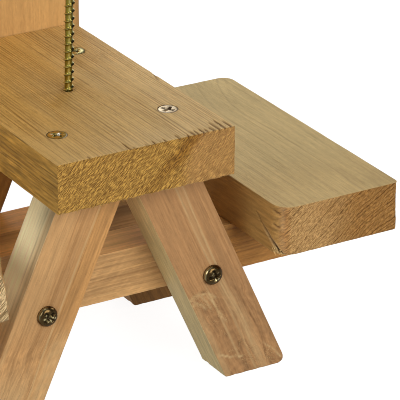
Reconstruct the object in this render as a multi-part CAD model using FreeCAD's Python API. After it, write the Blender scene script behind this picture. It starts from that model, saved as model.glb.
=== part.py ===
import FreeCAD, Part
import math
import os

# Squirrel picnic table feeder: a small cedar picnic table with two benches, two
# splayed-leg frames, a backboard for fastening it to a tree or post, and a long
# screw standing up through the tabletop that a corn cob is twisted on to.
# Millimetres. +Z is up, the front of the table faces -Y, and the floor is z = 0.

V = FreeCAD.Vector

# ---------------------------------------------------------------- dimensions
# tabletop (rough-sawn board, grain along Y)
TABLE_W = 89.0            # along X
TABLE_L = 150.0           # along Y
TABLE_T = 23.4
TABLE_TOP_Z = 133.6

# legs (four, splayed outwards in two A-frames)
LEG_SPLAY_TAN = 0.447     # sideways run per unit of height
LEG_FACE_W = 33.1         # level width of the front face
LEG_T = 21.6              # along Y
LEG_TOP_GAP = 2.0         # between the two inner corners under the tabletop
FRONT_LEG_Y = 16.4        # front faces of the front legs, behind the tabletop's front end
REAR_LEG_Y = 103.4        # front faces of the rear legs

# crossbars (carry the benches)
BAR_L = 244.0
BAR_H = 23.8
BAR_T = 21.6
BAR_TOP_Z = 66.4

# benches
BENCH_INNER_X = 65.4
BENCH_W = 64.0
BENCH_T = 23.8
BENCH_FRONT_Y = -5.6
BENCH_L = 153.2
BENCH_R_FRONT_INNER = {1: 9.0, -1: 18.0}   # right, left (the left one is cut much rounder)
BENCH_R_FRONT_OUTER = 2.8
BENCH_R_REAR_OUTER = 6.5
BENCH_R_REAR_INNER = 8.0

# backboard
BACK_W = 94.6
BACK_T = 19.0
BACK_H = 152.4
MOUNT_HOLE_R = 3.25
MOUNT_HOLE_Z = (214.6, 246.6)

# wood screws
HEAD_R = 4.55             # flat (countersunk) head
HEAD_RIM = 0.4
HEAD_CONE_H = 2.85
PAN_R = 4.85              # pan head
PAN_H = 3.1
SHANK_R = 1.7
ROOT_R = 1.45
CREST_R = 2.25
COB_SHANK_R = 1.9          # the cob screw is a gauge thicker than the others
COB_ROOT_R = 1.72
COB_CREST_R = 2.52
PITCH = 3.65
POINT_L = 7.0
CLEAR_R = 2.45            # clearance hole beside the head
PILOT_R = 1.45            # pilot hole that the thread bites into
SINK_GAP = 0.05           # room around a countersunk head
TABLE_SCREW_L = 50.8
LEG_SCREW_L = 36.0
BENCH_SCREW_L = 38.0
BACK_SCREW_L = 50.8
COB_SCREW_L = 88.9
COB_SMOOTH_L = 12.0       # plain shank next to the cob screw's head
COB_LEAN_DEG = 1.75       # the cob screw stands a little out of plumb, to the right
PHILLIPS_W = 1.25
PHILLIPS_TOP = 2.35       # half length of the recess at its mouth
PHILLIPS_FOOT = 0.8       # half length at its foot
PHILLIPS_DEPTH = 2.3

# screw places, measured from the tabletop's centre line and front end
TABLE_SCREWS_FRONT = ((-28.4, 30.4), (28.5, 32.2))
TABLE_SCREWS_REAR = ((-28.5, 115.4), (27.0, 116.8))
LEG_SCREW_X = 42.5
LEG_SCREW_Z = 54.9
COB_XY = (-0.34, 73.8)
BACK_SCREW_X = 18.0

# ------------------------------------------------------------ derived places
TABLE_UNDER_Z = TABLE_TOP_Z - TABLE_T
BACK_BOTTOM_Z = TABLE_UNDER_Z
FRONT_BAR_Y = FRONT_LEG_Y + LEG_T
REAR_BAR_Y = REAR_LEG_Y - BAR_T
BACK_Y = TABLE_L
BENCH_SCREW_X = BENCH_INNER_X + BENCH_W / 2.0
# the origin stands on the floor under the middle of the whole object
Y_MID = (BENCH_FRONT_Y + BACK_Y + BACK_T) / 2.0


# -------------------------------------------------------------------- shapes
def box(x0, x1, y0, y1, z0, z1):
    return Part.makeBox(x1 - x0, y1 - y0, z1 - z0, V(x0, y0, z0))


def rod(r, length, base, direction):
    return Part.makeCylinder(r, length, base, direction)


def screw_blank(kind, length, smooth, shank=SHANK_R, root=ROOT_R, crest=CREST_R):
    """A wood screw pointing down -Z. A flat head's top, or the seat of a pan
    head, is at z = 0. The thread is a row of ridges at the thread's pitch."""
    pts = []
    if kind == "flat":
        pts += [(0.0, 0.0), (HEAD_R, 0.0), (HEAD_R, -HEAD_RIM), (shank, -HEAD_RIM - HEAD_CONE_H)]
    else:
        pts += [(0.0, PAN_H)]
        for i in range(1, 7):
            a = math.radians(15.0 * i)
            pts.append((PAN_R * math.sin(a) ** 0.8, PAN_H * (0.35 + 0.65 * math.cos(a))))
        pts += [(PAN_R, 0.0), (shank, 0.0)]
    z = -max(smooth, HEAD_RIM + HEAD_CONE_H + 0.5 if kind == "flat" else 0.5)
    pts += [(shank, z), (root, z - 0.3)]
    z -= 0.3
    while z - PITCH > -(length - POINT_L):
        pts += [
            (root, z - 0.30 * PITCH),
            (crest, z - 0.48 * PITCH),
            (crest, z - 0.52 * PITCH),
            (root, z - 0.70 * PITCH),
        ]
        z -= PITCH
    pts += [(root, -(length - POINT_L)), (0.0, -length)]
    wire = Part.makePolygon([V(r, 0, h) for r, h in pts] + [V(pts[0][0], 0, pts[0][1])])
    solid = Part.Face(wire).revolve(V(0, 0, 0), V(0, 0, 1), 360)
    if solid.ShapeType != "Solid":
        solid = solid.Solids[0]
    # cross recess in the head
    top = 0.0 if kind == "flat" else PAN_H
    prof = Part.makePolygon([
        V(-PHILLIPS_TOP, 0, top + 0.2), V(PHILLIPS_TOP, 0, top + 0.2),
        V(PHILLIPS_FOOT, 0, top - PHILLIPS_DEPTH), V(-PHILLIPS_FOOT, 0, top - PHILLIPS_DEPTH),
        V(-PHILLIPS_TOP, 0, top + 0.2),
    ])
    wing = Part.Face(prof).extrude(V(0, PHILLIPS_W, 0))
    wing.translate(V(0, -PHILLIPS_W / 2.0, 0))
    other = wing.copy()
    other.rotate(V(0, 0, 0), V(0, 0, 1), 90)
    return solid.cut(wing.fuse(other)).Solids[0]


def place(blank, at, turn_x, spin=0.0):
    """Stand a screw at a point: spin it about its own axis, then turn it about X."""
    s = blank.copy()
    s.rotate(V(0, 0, 0), V(0, 0, 1), spin)
    s.rotate(V(0, 0, 0), V(1, 0, 0), turn_x)
    s.translate(V(*at))
    return s


def sink(at, direction, through):
    """Hole for a flat-headed screw: countersink plus clearance hole. direction
    points the way the screw is driven, and at is on the face."""
    d = V(*direction)
    rim = rod(HEAD_R + SINK_GAP, HEAD_RIM + 1.0, V(*at) - d * 1.0, d)
    cone = Part.makeCone(HEAD_R + SINK_GAP, SHANK_R + SINK_GAP, HEAD_CONE_H, V(*at) + d * HEAD_RIM, d)
    hole = rod(CLEAR_R, through + 1.0, V(*at), d)
    return rim.fuse(cone).fuse(hole)


def leg(side, y0):
    """One splayed leg with level cuts at its top and foot. side is -1 or 1."""
    zt = TABLE_UNDER_Z
    run = zt * LEG_SPLAY_TAN
    a = LEG_TOP_GAP / 2.0
    pts = [
        V(side * a, y0, zt),
        V(side * (a + LEG_FACE_W), y0, zt),
        V(side * (a + LEG_FACE_W + run), y0, 0),
        V(side * (a + run), y0, 0),
    ]
    return Part.Face(Part.makePolygon(pts + [pts[0]])).extrude(V(0, LEG_T, 0))


def bench(side):
    x0 = side * BENCH_INNER_X
    x1 = side * (BENCH_INNER_X + BENCH_W)
    y0, y1 = BENCH_FRONT_Y, BENCH_FRONT_Y + BENCH_L
    b = box(min(x0, x1), max(x0, x1), y0, y1, BAR_TOP_Z, BAR_TOP_Z + BENCH_T)
    radii = {
        (x0, y0): BENCH_R_FRONT_INNER[side],
        (x1, y0): BENCH_R_FRONT_OUTER,
        (x1, y1): BENCH_R_REAR_OUTER,
        (x0, y1): BENCH_R_REAR_INNER,
    }
    for (cx, cy), r in radii.items():
        for e in b.Edges:
            p, q = e.Vertexes[0].Point, e.Vertexes[-1].Point
            upright = abs(p.x - q.x) < 1e-6 and abs(p.y - q.y) < 1e-6
            if upright and abs(p.x - cx) < 1e-6 and abs(p.y - cy) < 1e-6:
                b = b.makeFillet(r, [e])
                break
    return b


# ------------------------------------------------------------- wooden pieces
tabletop = box(-TABLE_W / 2, TABLE_W / 2, 0, TABLE_L, TABLE_UNDER_Z, TABLE_TOP_Z)
backboard = box(-BACK_W / 2, BACK_W / 2, BACK_Y, BACK_Y + BACK_T, BACK_BOTTOM_Z, BACK_BOTTOM_Z + BACK_H)
front_left_leg = leg(-1, FRONT_LEG_Y)
front_right_leg = leg(1, FRONT_LEG_Y)
rear_left_leg = leg(-1, REAR_LEG_Y)
rear_right_leg = leg(1, REAR_LEG_Y)
front_crossbar = box(-BAR_L / 2, BAR_L / 2, FRONT_BAR_Y, FRONT_BAR_Y + BAR_T, BAR_TOP_Z - BAR_H, BAR_TOP_Z)
rear_crossbar = box(-BAR_L / 2, BAR_L / 2, REAR_BAR_Y, REAR_BAR_Y + BAR_T, BAR_TOP_Z - BAR_H, BAR_TOP_Z)
left_bench = bench(-1)
right_bench = bench(1)

# -------------------------------------------------------------------- screws
table_blank = screw_blank("flat", TABLE_SCREW_L, 18.0)
leg_blank = screw_blank("pan", LEG_SCREW_L, 10.0)
bench_blank = screw_blank("pan", BENCH_SCREW_L, 10.0)
back_blank = screw_blank("flat", BACK_SCREW_L, 16.0)
cob_blank = screw_blank("flat", COB_SCREW_L, COB_SMOOTH_L, COB_SHANK_R, COB_ROOT_R, COB_CREST_R)

down, up, back, fore = (0, 0, -1), (0, 0, 1), (0, 1, 0), (0, -1, 0)

# tabletop screws: down through the tabletop into the end of each leg
front_tabletop_screws, rear_tabletop_screws = [], []
for places, group, legs, spins in (
    (TABLE_SCREWS_FRONT, front_tabletop_screws, ("fl", "fr"), (22.0, 48.0)),
    (TABLE_SCREWS_REAR, rear_tabletop_screws, ("rl", "rr"), (65.0, 10.0)),
):
    for (sx, sy), which, spin in zip(places, legs, spins):
        group.append(place(table_blank, (sx, sy, TABLE_TOP_Z), 0, spin))
        tabletop = tabletop.cut(sink((sx, sy, TABLE_TOP_Z), down, TABLE_T))
        pilot = rod(PILOT_R, TABLE_SCREW_L - TABLE_T, V(sx, sy, TABLE_UNDER_Z), V(*down))
        if which == "fl":
            front_left_leg = front_left_leg.cut(pilot)
        elif which == "fr":
            front_right_leg = front_right_leg.cut(pilot)
        elif which == "rl":
            rear_left_leg = rear_left_leg.cut(pilot)
        else:
            rear_right_leg = rear_right_leg.cut(pilot)

# leg screws: through each leg into the crossbar behind it
front_leg_screws, rear_leg_screws = [], []
rear_face = REAR_LEG_Y + LEG_T
for side, spin in ((-1, 30.0), (1, 12.0)):
    x = side * LEG_SCREW_X
    front_leg_screws.append(place(leg_blank, (x, FRONT_LEG_Y, LEG_SCREW_Z), 90, spin))
    hole = rod(CLEAR_R, LEG_T, V(x, FRONT_LEG_Y, LEG_SCREW_Z), V(*back))
    pilot = rod(PILOT_R, LEG_SCREW_L - LEG_T, V(x, FRONT_BAR_Y, LEG_SCREW_Z), V(*back))
    front_crossbar = front_crossbar.cut(pilot)
    rear_leg_screws.append(place(leg_blank, (x, rear_face, LEG_SCREW_Z), -90, spin + 25.0))
    rear_hole = rod(CLEAR_R, LEG_T, V(x, rear_face, LEG_SCREW_Z), V(*fore))
    rear_pilot = rod(PILOT_R, LEG_SCREW_L - LEG_T, V(x, REAR_LEG_Y, LEG_SCREW_Z), V(*fore))
    rear_crossbar = rear_crossbar.cut(rear_pilot)
    if side < 0:
        front_left_leg = front_left_leg.cut(hole)
        rear_left_leg = rear_left_leg.cut(rear_hole)
    else:
        front_right_leg = front_right_leg.cut(hole)
        rear_right_leg = rear_right_leg.cut(rear_hole)

# bench screws: up through the crossbars into the benches
left_bench_screws, right_bench_screws = [], []
bar_under = BAR_TOP_Z - BAR_H
for side, group in ((-1, left_bench_screws), (1, right_bench_screws)):
    x = side * BENCH_SCREW_X
    for y, spin in ((FRONT_BAR_Y + BAR_T / 2, 15.0), (REAR_BAR_Y + BAR_T / 2, 55.0)):
        group.append(place(bench_blank, (x, y, bar_under), 180, spin))
        hole = rod(CLEAR_R, BAR_H, V(x, y, bar_under), V(*up))
        pilot = rod(PILOT_R, BENCH_SCREW_L - BAR_H, V(x, y, BAR_TOP_Z), V(*up))
        if y < REAR_BAR_Y:
            front_crossbar = front_crossbar.cut(hole)
        else:
            rear_crossbar = rear_crossbar.cut(hole)
        if side < 0:
            left_bench = left_bench.cut(pilot)
        else:
            right_bench = right_bench.cut(pilot)

# backboard screws: from behind through the backboard into the tabletop's end
backboard_screws = []
back_face = BACK_Y + BACK_T
back_z = TABLE_UNDER_Z + TABLE_T / 2
for x, spin in ((-BACK_SCREW_X, 40.0), (BACK_SCREW_X, 5.0)):
    backboard_screws.append(place(back_blank, (x, back_face, back_z), -90, spin))
    backboard = backboard.cut(sink((x, back_face, back_z), fore, BACK_T))
    tabletop = tabletop.cut(rod(PILOT_R, BACK_SCREW_L - BACK_T, V(x, BACK_Y, back_z), V(*fore)))

# mounting holes near the top of the backboard, on its centre line
for z in MOUNT_HOLE_Z:
    backboard = backboard.cut(rod(MOUNT_HOLE_R, BACK_T + 2, V(0, BACK_Y - 1, z), V(*back)))

# cob screw: from below through the middle of the tabletop, point up
seat = V(COB_XY[0], COB_XY[1], TABLE_UNDER_Z)
cob_screw = place(cob_blank, (COB_XY[0], COB_XY[1], TABLE_UNDER_Z), 180, 0)
rim = rod(HEAD_R + SINK_GAP, HEAD_RIM + 1.5, seat - V(0, 0, 1.5), V(*up))
cone = Part.makeCone(HEAD_R + SINK_GAP, COB_SHANK_R + SINK_GAP, HEAD_CONE_H, seat + V(0, 0, HEAD_RIM), V(*up))
bore = rod(COB_SHANK_R + SINK_GAP, TABLE_T + 2, seat, V(*up))
cob_hole = rim.fuse(cone).fuse(bore)
cob_screw.rotate(seat, V(0, 1, 0), COB_LEAN_DEG)
cob_hole.rotate(seat, V(0, 1, 0), COB_LEAN_DEG)
tabletop = tabletop.cut(cob_hole)

# -------------------------------------------------------------------- export
pieces = {
    "tabletop": tabletop,
    "backboard": backboard,
    "front_left_leg": front_left_leg,
    "front_right_leg": front_right_leg,
    "rear_left_leg": rear_left_leg,
    "rear_right_leg": rear_right_leg,
    "front_crossbar": front_crossbar,
    "rear_crossbar": rear_crossbar,
    "left_bench": left_bench,
    "right_bench": right_bench,
    "cob_screw": cob_screw,
    "front_tabletop_screws": front_tabletop_screws,
    "rear_tabletop_screws": rear_tabletop_screws,
    "front_leg_screws": front_leg_screws,
    "rear_leg_screws": rear_leg_screws,
    "left_bench_screws": left_bench_screws,
    "right_bench_screws": right_bench_screws,
    "backboard_screws": backboard_screws,
}

os.makedirs("parts", exist_ok=True)
wood_mm3 = steel_mm3 = 0.0
for name, shape in pieces.items():
    solids = []
    for s in shape if isinstance(shape, list) else [shape]:
        solids += s.Solids
    out = solids[0] if len(solids) == 1 else Part.makeCompound(solids)
    out.translate(V(0, -Y_MID, 0))
    out.exportStep("parts/%s.step" % name)
    volume = sum(s.Volume for s in solids)
    if "screw" in name:
        steel_mm3 += volume
    else:
        wood_mm3 += volume
    b = out.BoundBox
    print("%-22s solids %d valid %s volume %9.1f  x %7.2f %7.2f  y %7.2f %7.2f  z %7.2f %7.2f" % (
        name, len(solids), all(s.isValid() for s in solids), volume,
        b.XMin, b.XMax, b.YMin, b.YMax, b.ZMin, b.ZMax))
print("wood %.1f mm3, steel %.1f mm3" % (wood_mm3, steel_mm3))
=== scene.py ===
import math

import bpy
import numpy as np
from mathutils import Matrix, Vector


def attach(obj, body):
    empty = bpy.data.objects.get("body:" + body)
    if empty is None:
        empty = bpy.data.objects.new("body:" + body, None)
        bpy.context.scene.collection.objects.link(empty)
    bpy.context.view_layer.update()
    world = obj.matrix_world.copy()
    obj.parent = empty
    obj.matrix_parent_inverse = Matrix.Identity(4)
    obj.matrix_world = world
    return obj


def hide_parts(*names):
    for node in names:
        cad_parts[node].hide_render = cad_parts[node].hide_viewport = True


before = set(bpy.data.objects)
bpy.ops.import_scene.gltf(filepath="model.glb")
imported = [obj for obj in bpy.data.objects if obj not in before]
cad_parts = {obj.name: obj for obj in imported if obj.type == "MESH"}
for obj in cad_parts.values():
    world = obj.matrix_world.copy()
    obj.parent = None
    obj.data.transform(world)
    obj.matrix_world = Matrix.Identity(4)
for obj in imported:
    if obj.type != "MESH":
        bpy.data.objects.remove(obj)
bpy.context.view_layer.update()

# ---------------------------------------------------------------- noise


def cell(ix, iy, iz, seed):
    h = (ix * 374761393 + iy * 668265263 + iz * 1440662683 + seed * 974634779) & 0xFFFFFFFF
    h = ((h ^ (h >> 13)) * 1274126177) & 0xFFFFFFFF
    return (h ^ (h >> 16)) / 4294967295.0


def noise(x, y, z, seed=0):
    """Smooth value noise from 0 to 1."""
    x, y, z = np.broadcast_arrays(np.asarray(x, float), np.asarray(y, float), np.asarray(z, float))
    fx, fy, fz = np.floor(x), np.floor(y), np.floor(z)
    ix, iy, iz = fx.astype(np.int64), fy.astype(np.int64), fz.astype(np.int64)
    u, v, w = x - fx, y - fy, z - fz
    u, v, w = u * u * (3 - 2 * u), v * v * (3 - 2 * v), w * w * (3 - 2 * w)
    out = 0.0
    for a in (0, 1):
        for b in (0, 1):
            for c in (0, 1):
                k = cell(ix + a, iy + b, iz + c, seed)
                out = out + k * (u if a else 1 - u) * (v if b else 1 - v) * (w if c else 1 - w)
    return out


def fbm(x, y, z, seed=0, octaves=3, gain=0.5):
    total, amp, norm = 0.0, 1.0, 0.0
    for o in range(octaves):
        f = 2.03 ** o
        total = total + amp * noise(np.asarray(x) * f, np.asarray(y) * f, np.asarray(z) * f, seed + 17 * o)
        norm += amp
        amp *= gain
    return total / norm


def smooth(a, b, x):
    t = np.clip((np.asarray(x, float) - a) / (b - a), 0, 1)
    return t * t * (3 - 2 * t)


def band(v, centre, half, soft):
    """1 within half of centre, falling to 0 over soft."""
    return 1 - smooth(half, half + soft, np.abs(v - centre))


def to_path(px, py, pts):
    """Distance from points to a polyline, and how far along it (0 to 1) the nearest place is."""
    pts = np.asarray(pts, float)
    seg = np.linalg.norm(np.diff(pts, axis=0), axis=1)
    total = seg.sum()
    best = np.full(np.shape(px), 1e9)
    along = np.zeros(np.shape(px))
    run = 0.0
    for (ax, ay), (bx, by), s in zip(pts[:-1], pts[1:], seg):
        t = np.clip(((px - ax) * (bx - ax) + (py - ay) * (by - ay)) / (s * s), 0, 1)
        d = np.hypot(px - ax - t * (bx - ax), py - ay - t * (by - ay))
        near = d < best
        best = np.where(near, d, best)
        along = np.where(near, (run + t * s) / total, along)
        run += s
    return best, along


# ---------------------------------------------------------------- meshes

MARKS = ("dark", "stain", "pale", "cast")


def make_object(name, verts_mm, faces, uv, attributes, material):
    """A mesh object in the row frame. faces is a list of index arrays, uv one array of corners for each."""
    me = bpy.data.meshes.new(name)
    verts = np.asarray(verts_mm, float) / 1000.0
    count = np.concatenate([np.full(len(f), f.shape[1], np.int64) for f in faces if len(f)])
    corner = np.concatenate([f.reshape(-1) for f in faces if len(f)])
    me.vertices.add(len(verts))
    me.vertices.foreach_set("co", verts.astype(np.float32).ravel())
    me.loops.add(len(corner))
    me.loops.foreach_set("vertex_index", corner.astype(np.int32))
    me.polygons.add(len(count))
    me.polygons.foreach_set("loop_start", np.concatenate([[0], np.cumsum(count)[:-1]]).astype(np.int32))
    me.polygons.foreach_set("use_smooth", np.ones(len(count), bool))
    me.update(calc_edges=True)
    layer = me.uv_layers.new(name="OFBake")
    places = np.concatenate([u.reshape(-1, 2) for u in uv if len(u)])
    layer.uv.foreach_set("vector", places.astype(np.float32).ravel())
    for key, val in attributes.items():
        val = np.asarray(val, np.float32)
        if val.ndim == 2:
            a = me.attributes.new(key, "FLOAT_VECTOR", "POINT")
            a.data.foreach_set("vector", val.ravel())
        else:
            a = me.attributes.new(key, "FLOAT", "POINT")
            a.data.foreach_set("value", val)
    me.validate()
    ob = bpy.data.objects.new(name, me)
    bpy.context.scene.collection.objects.link(ob)
    me.materials.append(material)
    return ob


def normals_of(P, faces):
    N = np.zeros_like(P)
    for f in faces:
        if not len(f):
            continue
        a, b, c = P[f[:, 0]], P[f[:, 1]], P[f[:, 2]]
        fn = np.cross(c - a, P[f[:, 3]] - b) if f.shape[1] == 4 else np.cross(b - a, c - a)
        for k in range(f.shape[1]):
            for i in range(3):
                N[:, i] += np.bincount(f[:, k], fn[:, i], minlength=len(P))
    return N / np.maximum(np.linalg.norm(N, axis=1), 1e-12)[:, None]


EDGE = (0.0, 0.15, 0.35, 0.6, 0.95, 1.45)


def lines(lo, hi, step, need=(), fine=()):
    """Grid lines from lo to hi, close together at both ends, on every needed place and in every fine range."""
    want = [lo + e for e in EDGE] + [hi - e for e in EDGE]
    want += [v for v in list(need) + [e for f in fine for e in f[:2]] if lo + 1.55 < v < hi - 1.55]
    keep = []
    for v in sorted(want):
        if not keep or v - keep[-1] > 0.09:
            keep.append(v)
    keep[-1] = hi
    out = [keep[0]]
    for a, b in zip(keep, keep[1:]):
        mid, s = (a + b) / 2, step
        for f0, f1, fs in fine:
            if f0 <= mid <= f1:
                s = min(s, fs)
        n = max(1, math.ceil((b - a) / s - 1e-6))
        out += list(np.linspace(a, b, n + 1)[1:])
    return np.array(out)


def rings(centre, radius):
    """Grid lines that a round seat of this radius needs."""
    out = [centre]
    for e in (radius + 1.0, radius + 0.35, radius, radius - 0.13, radius * 0.66, radius * 0.42):
        out += [centre - e, centre + e]
    return out


def csk(m):
    """Depth of a countersunk seat for a flat head, at m from its axis."""
    return np.interp(m, [0, 1.9, 4.46, 4.48, 4.6, 4.95, 5.6], [3.3, 3.25, 0.7, 0.62, 0.10, 0.02, 0.0])


def board(name, node, material, gx, gy, gz, place, radius, relief, cups=(), holes=(), corners=None, grain=1.0, shape=None):
    """A solid board on a closed grid. Local x is its width, y its grain and z its thickness, in mm."""
    nx, ny, nz = len(gx), len(gy), len(gz)
    I, J, K = np.meshgrid(np.arange(nx), np.arange(ny), np.arange(nz), indexing="ij")
    skin = (I == 0) | (I == nx - 1) | (J == 0) | (J == ny - 1) | (K == 0) | (K == nz - 1)
    number = np.full((nx, ny, nz), -1, np.int64)
    number[skin] = np.arange(int(skin.sum()))
    kk = K[skin]
    P = np.stack([gx[I[skin]], gy[J[skin]], gz[K[skin]]], 1)
    flat = P.copy()

    def quads(a, flip, drop=None):
        q = np.stack([a[:-1, :-1], a[1:, :-1], a[1:, 1:], a[:-1, 1:]], -1)
        if drop is not None:
            q = q[~drop]
        q = q.reshape(-1, 4)
        return q[:, ::-1] if flip else q

    at = lambda g, v: int(np.argmin(np.abs(g - v)))
    cut = np.zeros((nx - 1, ny - 1), bool)
    spans = []
    for hx, hy, hr in holes:
        ia, ib, ja, jb = at(gx, hx - hr), at(gx, hx + hr), at(gy, hy - hr), at(gy, hy + hr)
        cut[ia:ib, ja:jb] = True
        spans.append((ia, ib, ja, jb))
    sides = [
        (quads(number[:, :, -1], False, cut), 0, 1),
        (quads(number[:, :, 0], True, cut), 0, 1),
        (quads(number[-1, :, :], False), 2, 1),
        (quads(number[0, :, :], True), 2, 1),
        (quads(number[:, -1, :], True), 0, 2),
        (quads(number[:, 0, :], False), 0, 2),
    ]
    lo, hi = P.min(0), P.max(0)
    W, L, T = hi - lo
    gap = 2.0
    offs = [(0, 0), (W + gap, 0), (2 * W + 2 * gap, 0), (2 * W + T + 3 * gap, 0), (0, L + gap), (W + gap, L + gap)]
    total = np.array([2 * W + 2 * T + 3 * gap, L + T + gap])
    faces, uv = [], []
    for (q, a, b), off in zip(sides, offs):
        faces.append(q)
        uv.append((np.stack([flat[q][..., a] - lo[a], flat[q][..., b] - lo[b]], -1) + np.array(off) + 0.5) / (total + 1.0))

    r = np.asarray(radius(P), float)[:, None]
    core = np.clip(P, lo + r, hi - r)
    d = P - core
    size = np.linalg.norm(d, axis=1)
    for (sx, sy), R in (corners or {}).items():
        # an upright corner that is rounded below keeps its edge until then
        R = R(P[:, 2]) if callable(R) else R
        dx = (P[:, 0] - (hi[0] - R if sx > 0 else lo[0] + R)) * sx
        dy = (P[:, 1] - (hi[1] - R if sy > 0 else lo[1] + R)) * sy
        size = np.where((dx > 0) & (dy > 0), np.hypot(np.maximum(np.abs(d[:, 0]), np.abs(d[:, 1])), d[:, 2]), size)
    P = core + d / np.maximum(size, 1e-12)[:, None] * r
    for (sx, sy), R in (corners or {}).items():
        R = R(P[:, 2]) if callable(R) else R
        cx = hi[0] - R if sx > 0 else lo[0] + R
        cy = hi[1] - R if sy > 0 else lo[1] + R
        dx, dy = (P[:, 0] - cx) * sx, (P[:, 1] - cy) * sy
        inside = (dx > 0) & (dy > 0)
        f = np.where(inside, np.maximum(dx, dy) / np.maximum(np.hypot(dx, dy), 1e-9), 1.0)
        P[:, 0] = np.where(inside, cx + sx * dx * f, P[:, 0])
        P[:, 1] = np.where(inside, cy + sy * dy * f, P[:, 1])
    if shape:
        P = shape(P)
    calm, dark = np.ones(len(P)), np.zeros(len(P))
    for face, hx, hy, hr, depth in list(cups) + [(s, hx, hy, hr, None) for hx, hy, hr in holes for s in (1, -1)]:
        sel = kk == (nz - 1 if face > 0 else 0)
        dx, dy = P[:, 0] - hx, P[:, 1] - hy
        m, l = np.maximum(np.abs(dx), np.abs(dy)), np.hypot(dx, dy)
        w = 1 - smooth(hr + 0.4, hr + 3.4, m)
        f = (1 - w) + w * m / np.maximum(l, 1e-9)
        P[:, 0] = np.where(sel, hx + dx * f, P[:, 0])
        P[:, 1] = np.where(sel, hy + dy * f, P[:, 1])
        near = np.where(sel, m, 99.0)
        calm *= smooth(hr - 0.05, hr + 1.0, near)
        # painted shade darkens the rim of each through hole and screw seat
        if depth is None:
            P[:, 2] -= face * np.where(np.abs(near - hr) < 0.02, 0.25, 0.0)
            dark = np.maximum(dark, 0.6 * (1 - smooth(hr + 0.05, hr + 0.5, near)))
        else:
            P[:, 2] -= face * np.where(sel, depth(near), 0.0)
            dark = np.maximum(dark, 1 - smooth(hr - 0.02, hr + 0.28, near))
    # walls of the through holes
    extra, n = [P], len(P)
    for h, ((hx, hy, hr), (ia, ib, ja, jb)) in enumerate(zip(holes, spans)):
        loop = [(i, ja) for i in range(ia, ib)] + [(ib, j) for j in range(ja, jb)]
        loop += [(i, jb) for i in range(ib, ia, -1)] + [(ia, j) for j in range(jb, ja, -1)]
        upper = np.array([number[i, j, nz - 1] for i, j in loop])
        lower = np.array([number[i, j, 0] for i, j in loop])
        rows = [upper]
        steps = 14
        for s in range(1, steps):
            t = s / steps
            row = P[upper] * (1 - t) + P[lower] * t
            ang = np.arctan2(row[:, 1] - hy, row[:, 0] - hx)
            rr = hr - 0.10 * fbm(np.cos(ang) * 3, np.sin(ang) * 3, row[:, 2] * 0.7, 50 + h)
            extra.append(np.stack([hx + rr * np.cos(ang), hy + rr * np.sin(ang), row[:, 2]], 1))
            rows.append(np.arange(n, n + len(row)))
            n += len(row)
        rows.append(lower)
        G = np.array(rows)
        nxt = np.roll(G, -1, axis=1)
        q = np.stack([G[:-1], nxt[:-1], nxt[1:], G[1:]], -1)
        us = np.arange(len(loop) + 1) / len(loop)
        u0, u1 = np.meshgrid(us[:-1], np.arange(steps) / steps)
        v0, v1 = np.meshgrid(us[1:], (np.arange(steps) + 1) / steps)
        patch = np.stack([np.stack([u0, u1], -1), np.stack([v0, u1], -1), np.stack([v0, v1], -1), np.stack([u0, v1], -1)], 2)
        x0 = 2 * W + 3 * gap + h * (T + gap)
        size = np.array([T - 2, T - 2])
        uv.append((patch.reshape(-1, 4, 2) * size + np.array([x0, L + gap + 1]) + 0.5) / (total + 1.0))
        faces.append(q.reshape(-1, 4))
    P = np.concatenate(extra)
    more = len(P) - len(calm)
    # the hole walls are painted in shade
    calm, dark = np.concatenate([calm, np.zeros(more)]), np.concatenate([dark, np.full(more, 0.45)])
    used = np.zeros(len(P), bool)
    for f in faces:
        used[f.reshape(-1)] = True
    new = np.cumsum(used) - 1
    faces = [new[f] for f in faces]
    P, calm, dark = P[used], calm[used], dark[used]
    N = normals_of(P, faces)
    push, marks = relief(P, N)
    Q = P + N * (push * calm)[:, None]
    bc = P.copy()
    bc[:, 0] = bc[:, 0] * grain + marks.get("warp", 0.0)
    points = {"bc": bc, "endg": smooth(0.35, 0.8, np.abs(N[:, 1]))}
    for key in MARKS:
        points[key] = np.clip(marks.get(key, np.zeros(len(P))), 0, 1)
    points["dark"] = np.maximum(points["dark"], dark)
    points["tone"] = np.clip(marks.get("tone", np.ones(len(P))), 0.2, 2.0)
    ob = make_object(name, place(Q), faces, uv, points, material)
    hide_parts(node)
    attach(ob, "root")
    return ob


def torn_field(x, z, w, seed, angle, spacing=1.7, run=6.0):
    """Torn end grain, 0 in the gaps to 1 on the fibres, drawn out along angle."""
    a = math.radians(angle)
    t, c = x * math.cos(a) + z * math.sin(a), -x * math.sin(a) + z * math.cos(a)
    c = c + 1.8 * (fbm(t * 0.10, c * 0.16, w, seed + 40, 2) - 0.5)
    ridge = 1 - np.abs(2 * noise(t / run, c / (0.8 * spacing), w, seed) - 1)
    lump = fbm(t * 0.34, c * 0.95, w + 3.0, seed + 3)
    tuft = noise(x * 1.1, z * 1.1, w + 5.0, seed + 9)
    return np.clip(0.42 * ridge + 0.40 * lump + 0.22 * tuft, 0, 1)


def arris(N):
    """1 along a board's edges, 0 on its faces."""
    return smooth(0.16, 0.5, 1 - np.max(N * N, axis=1))


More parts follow.
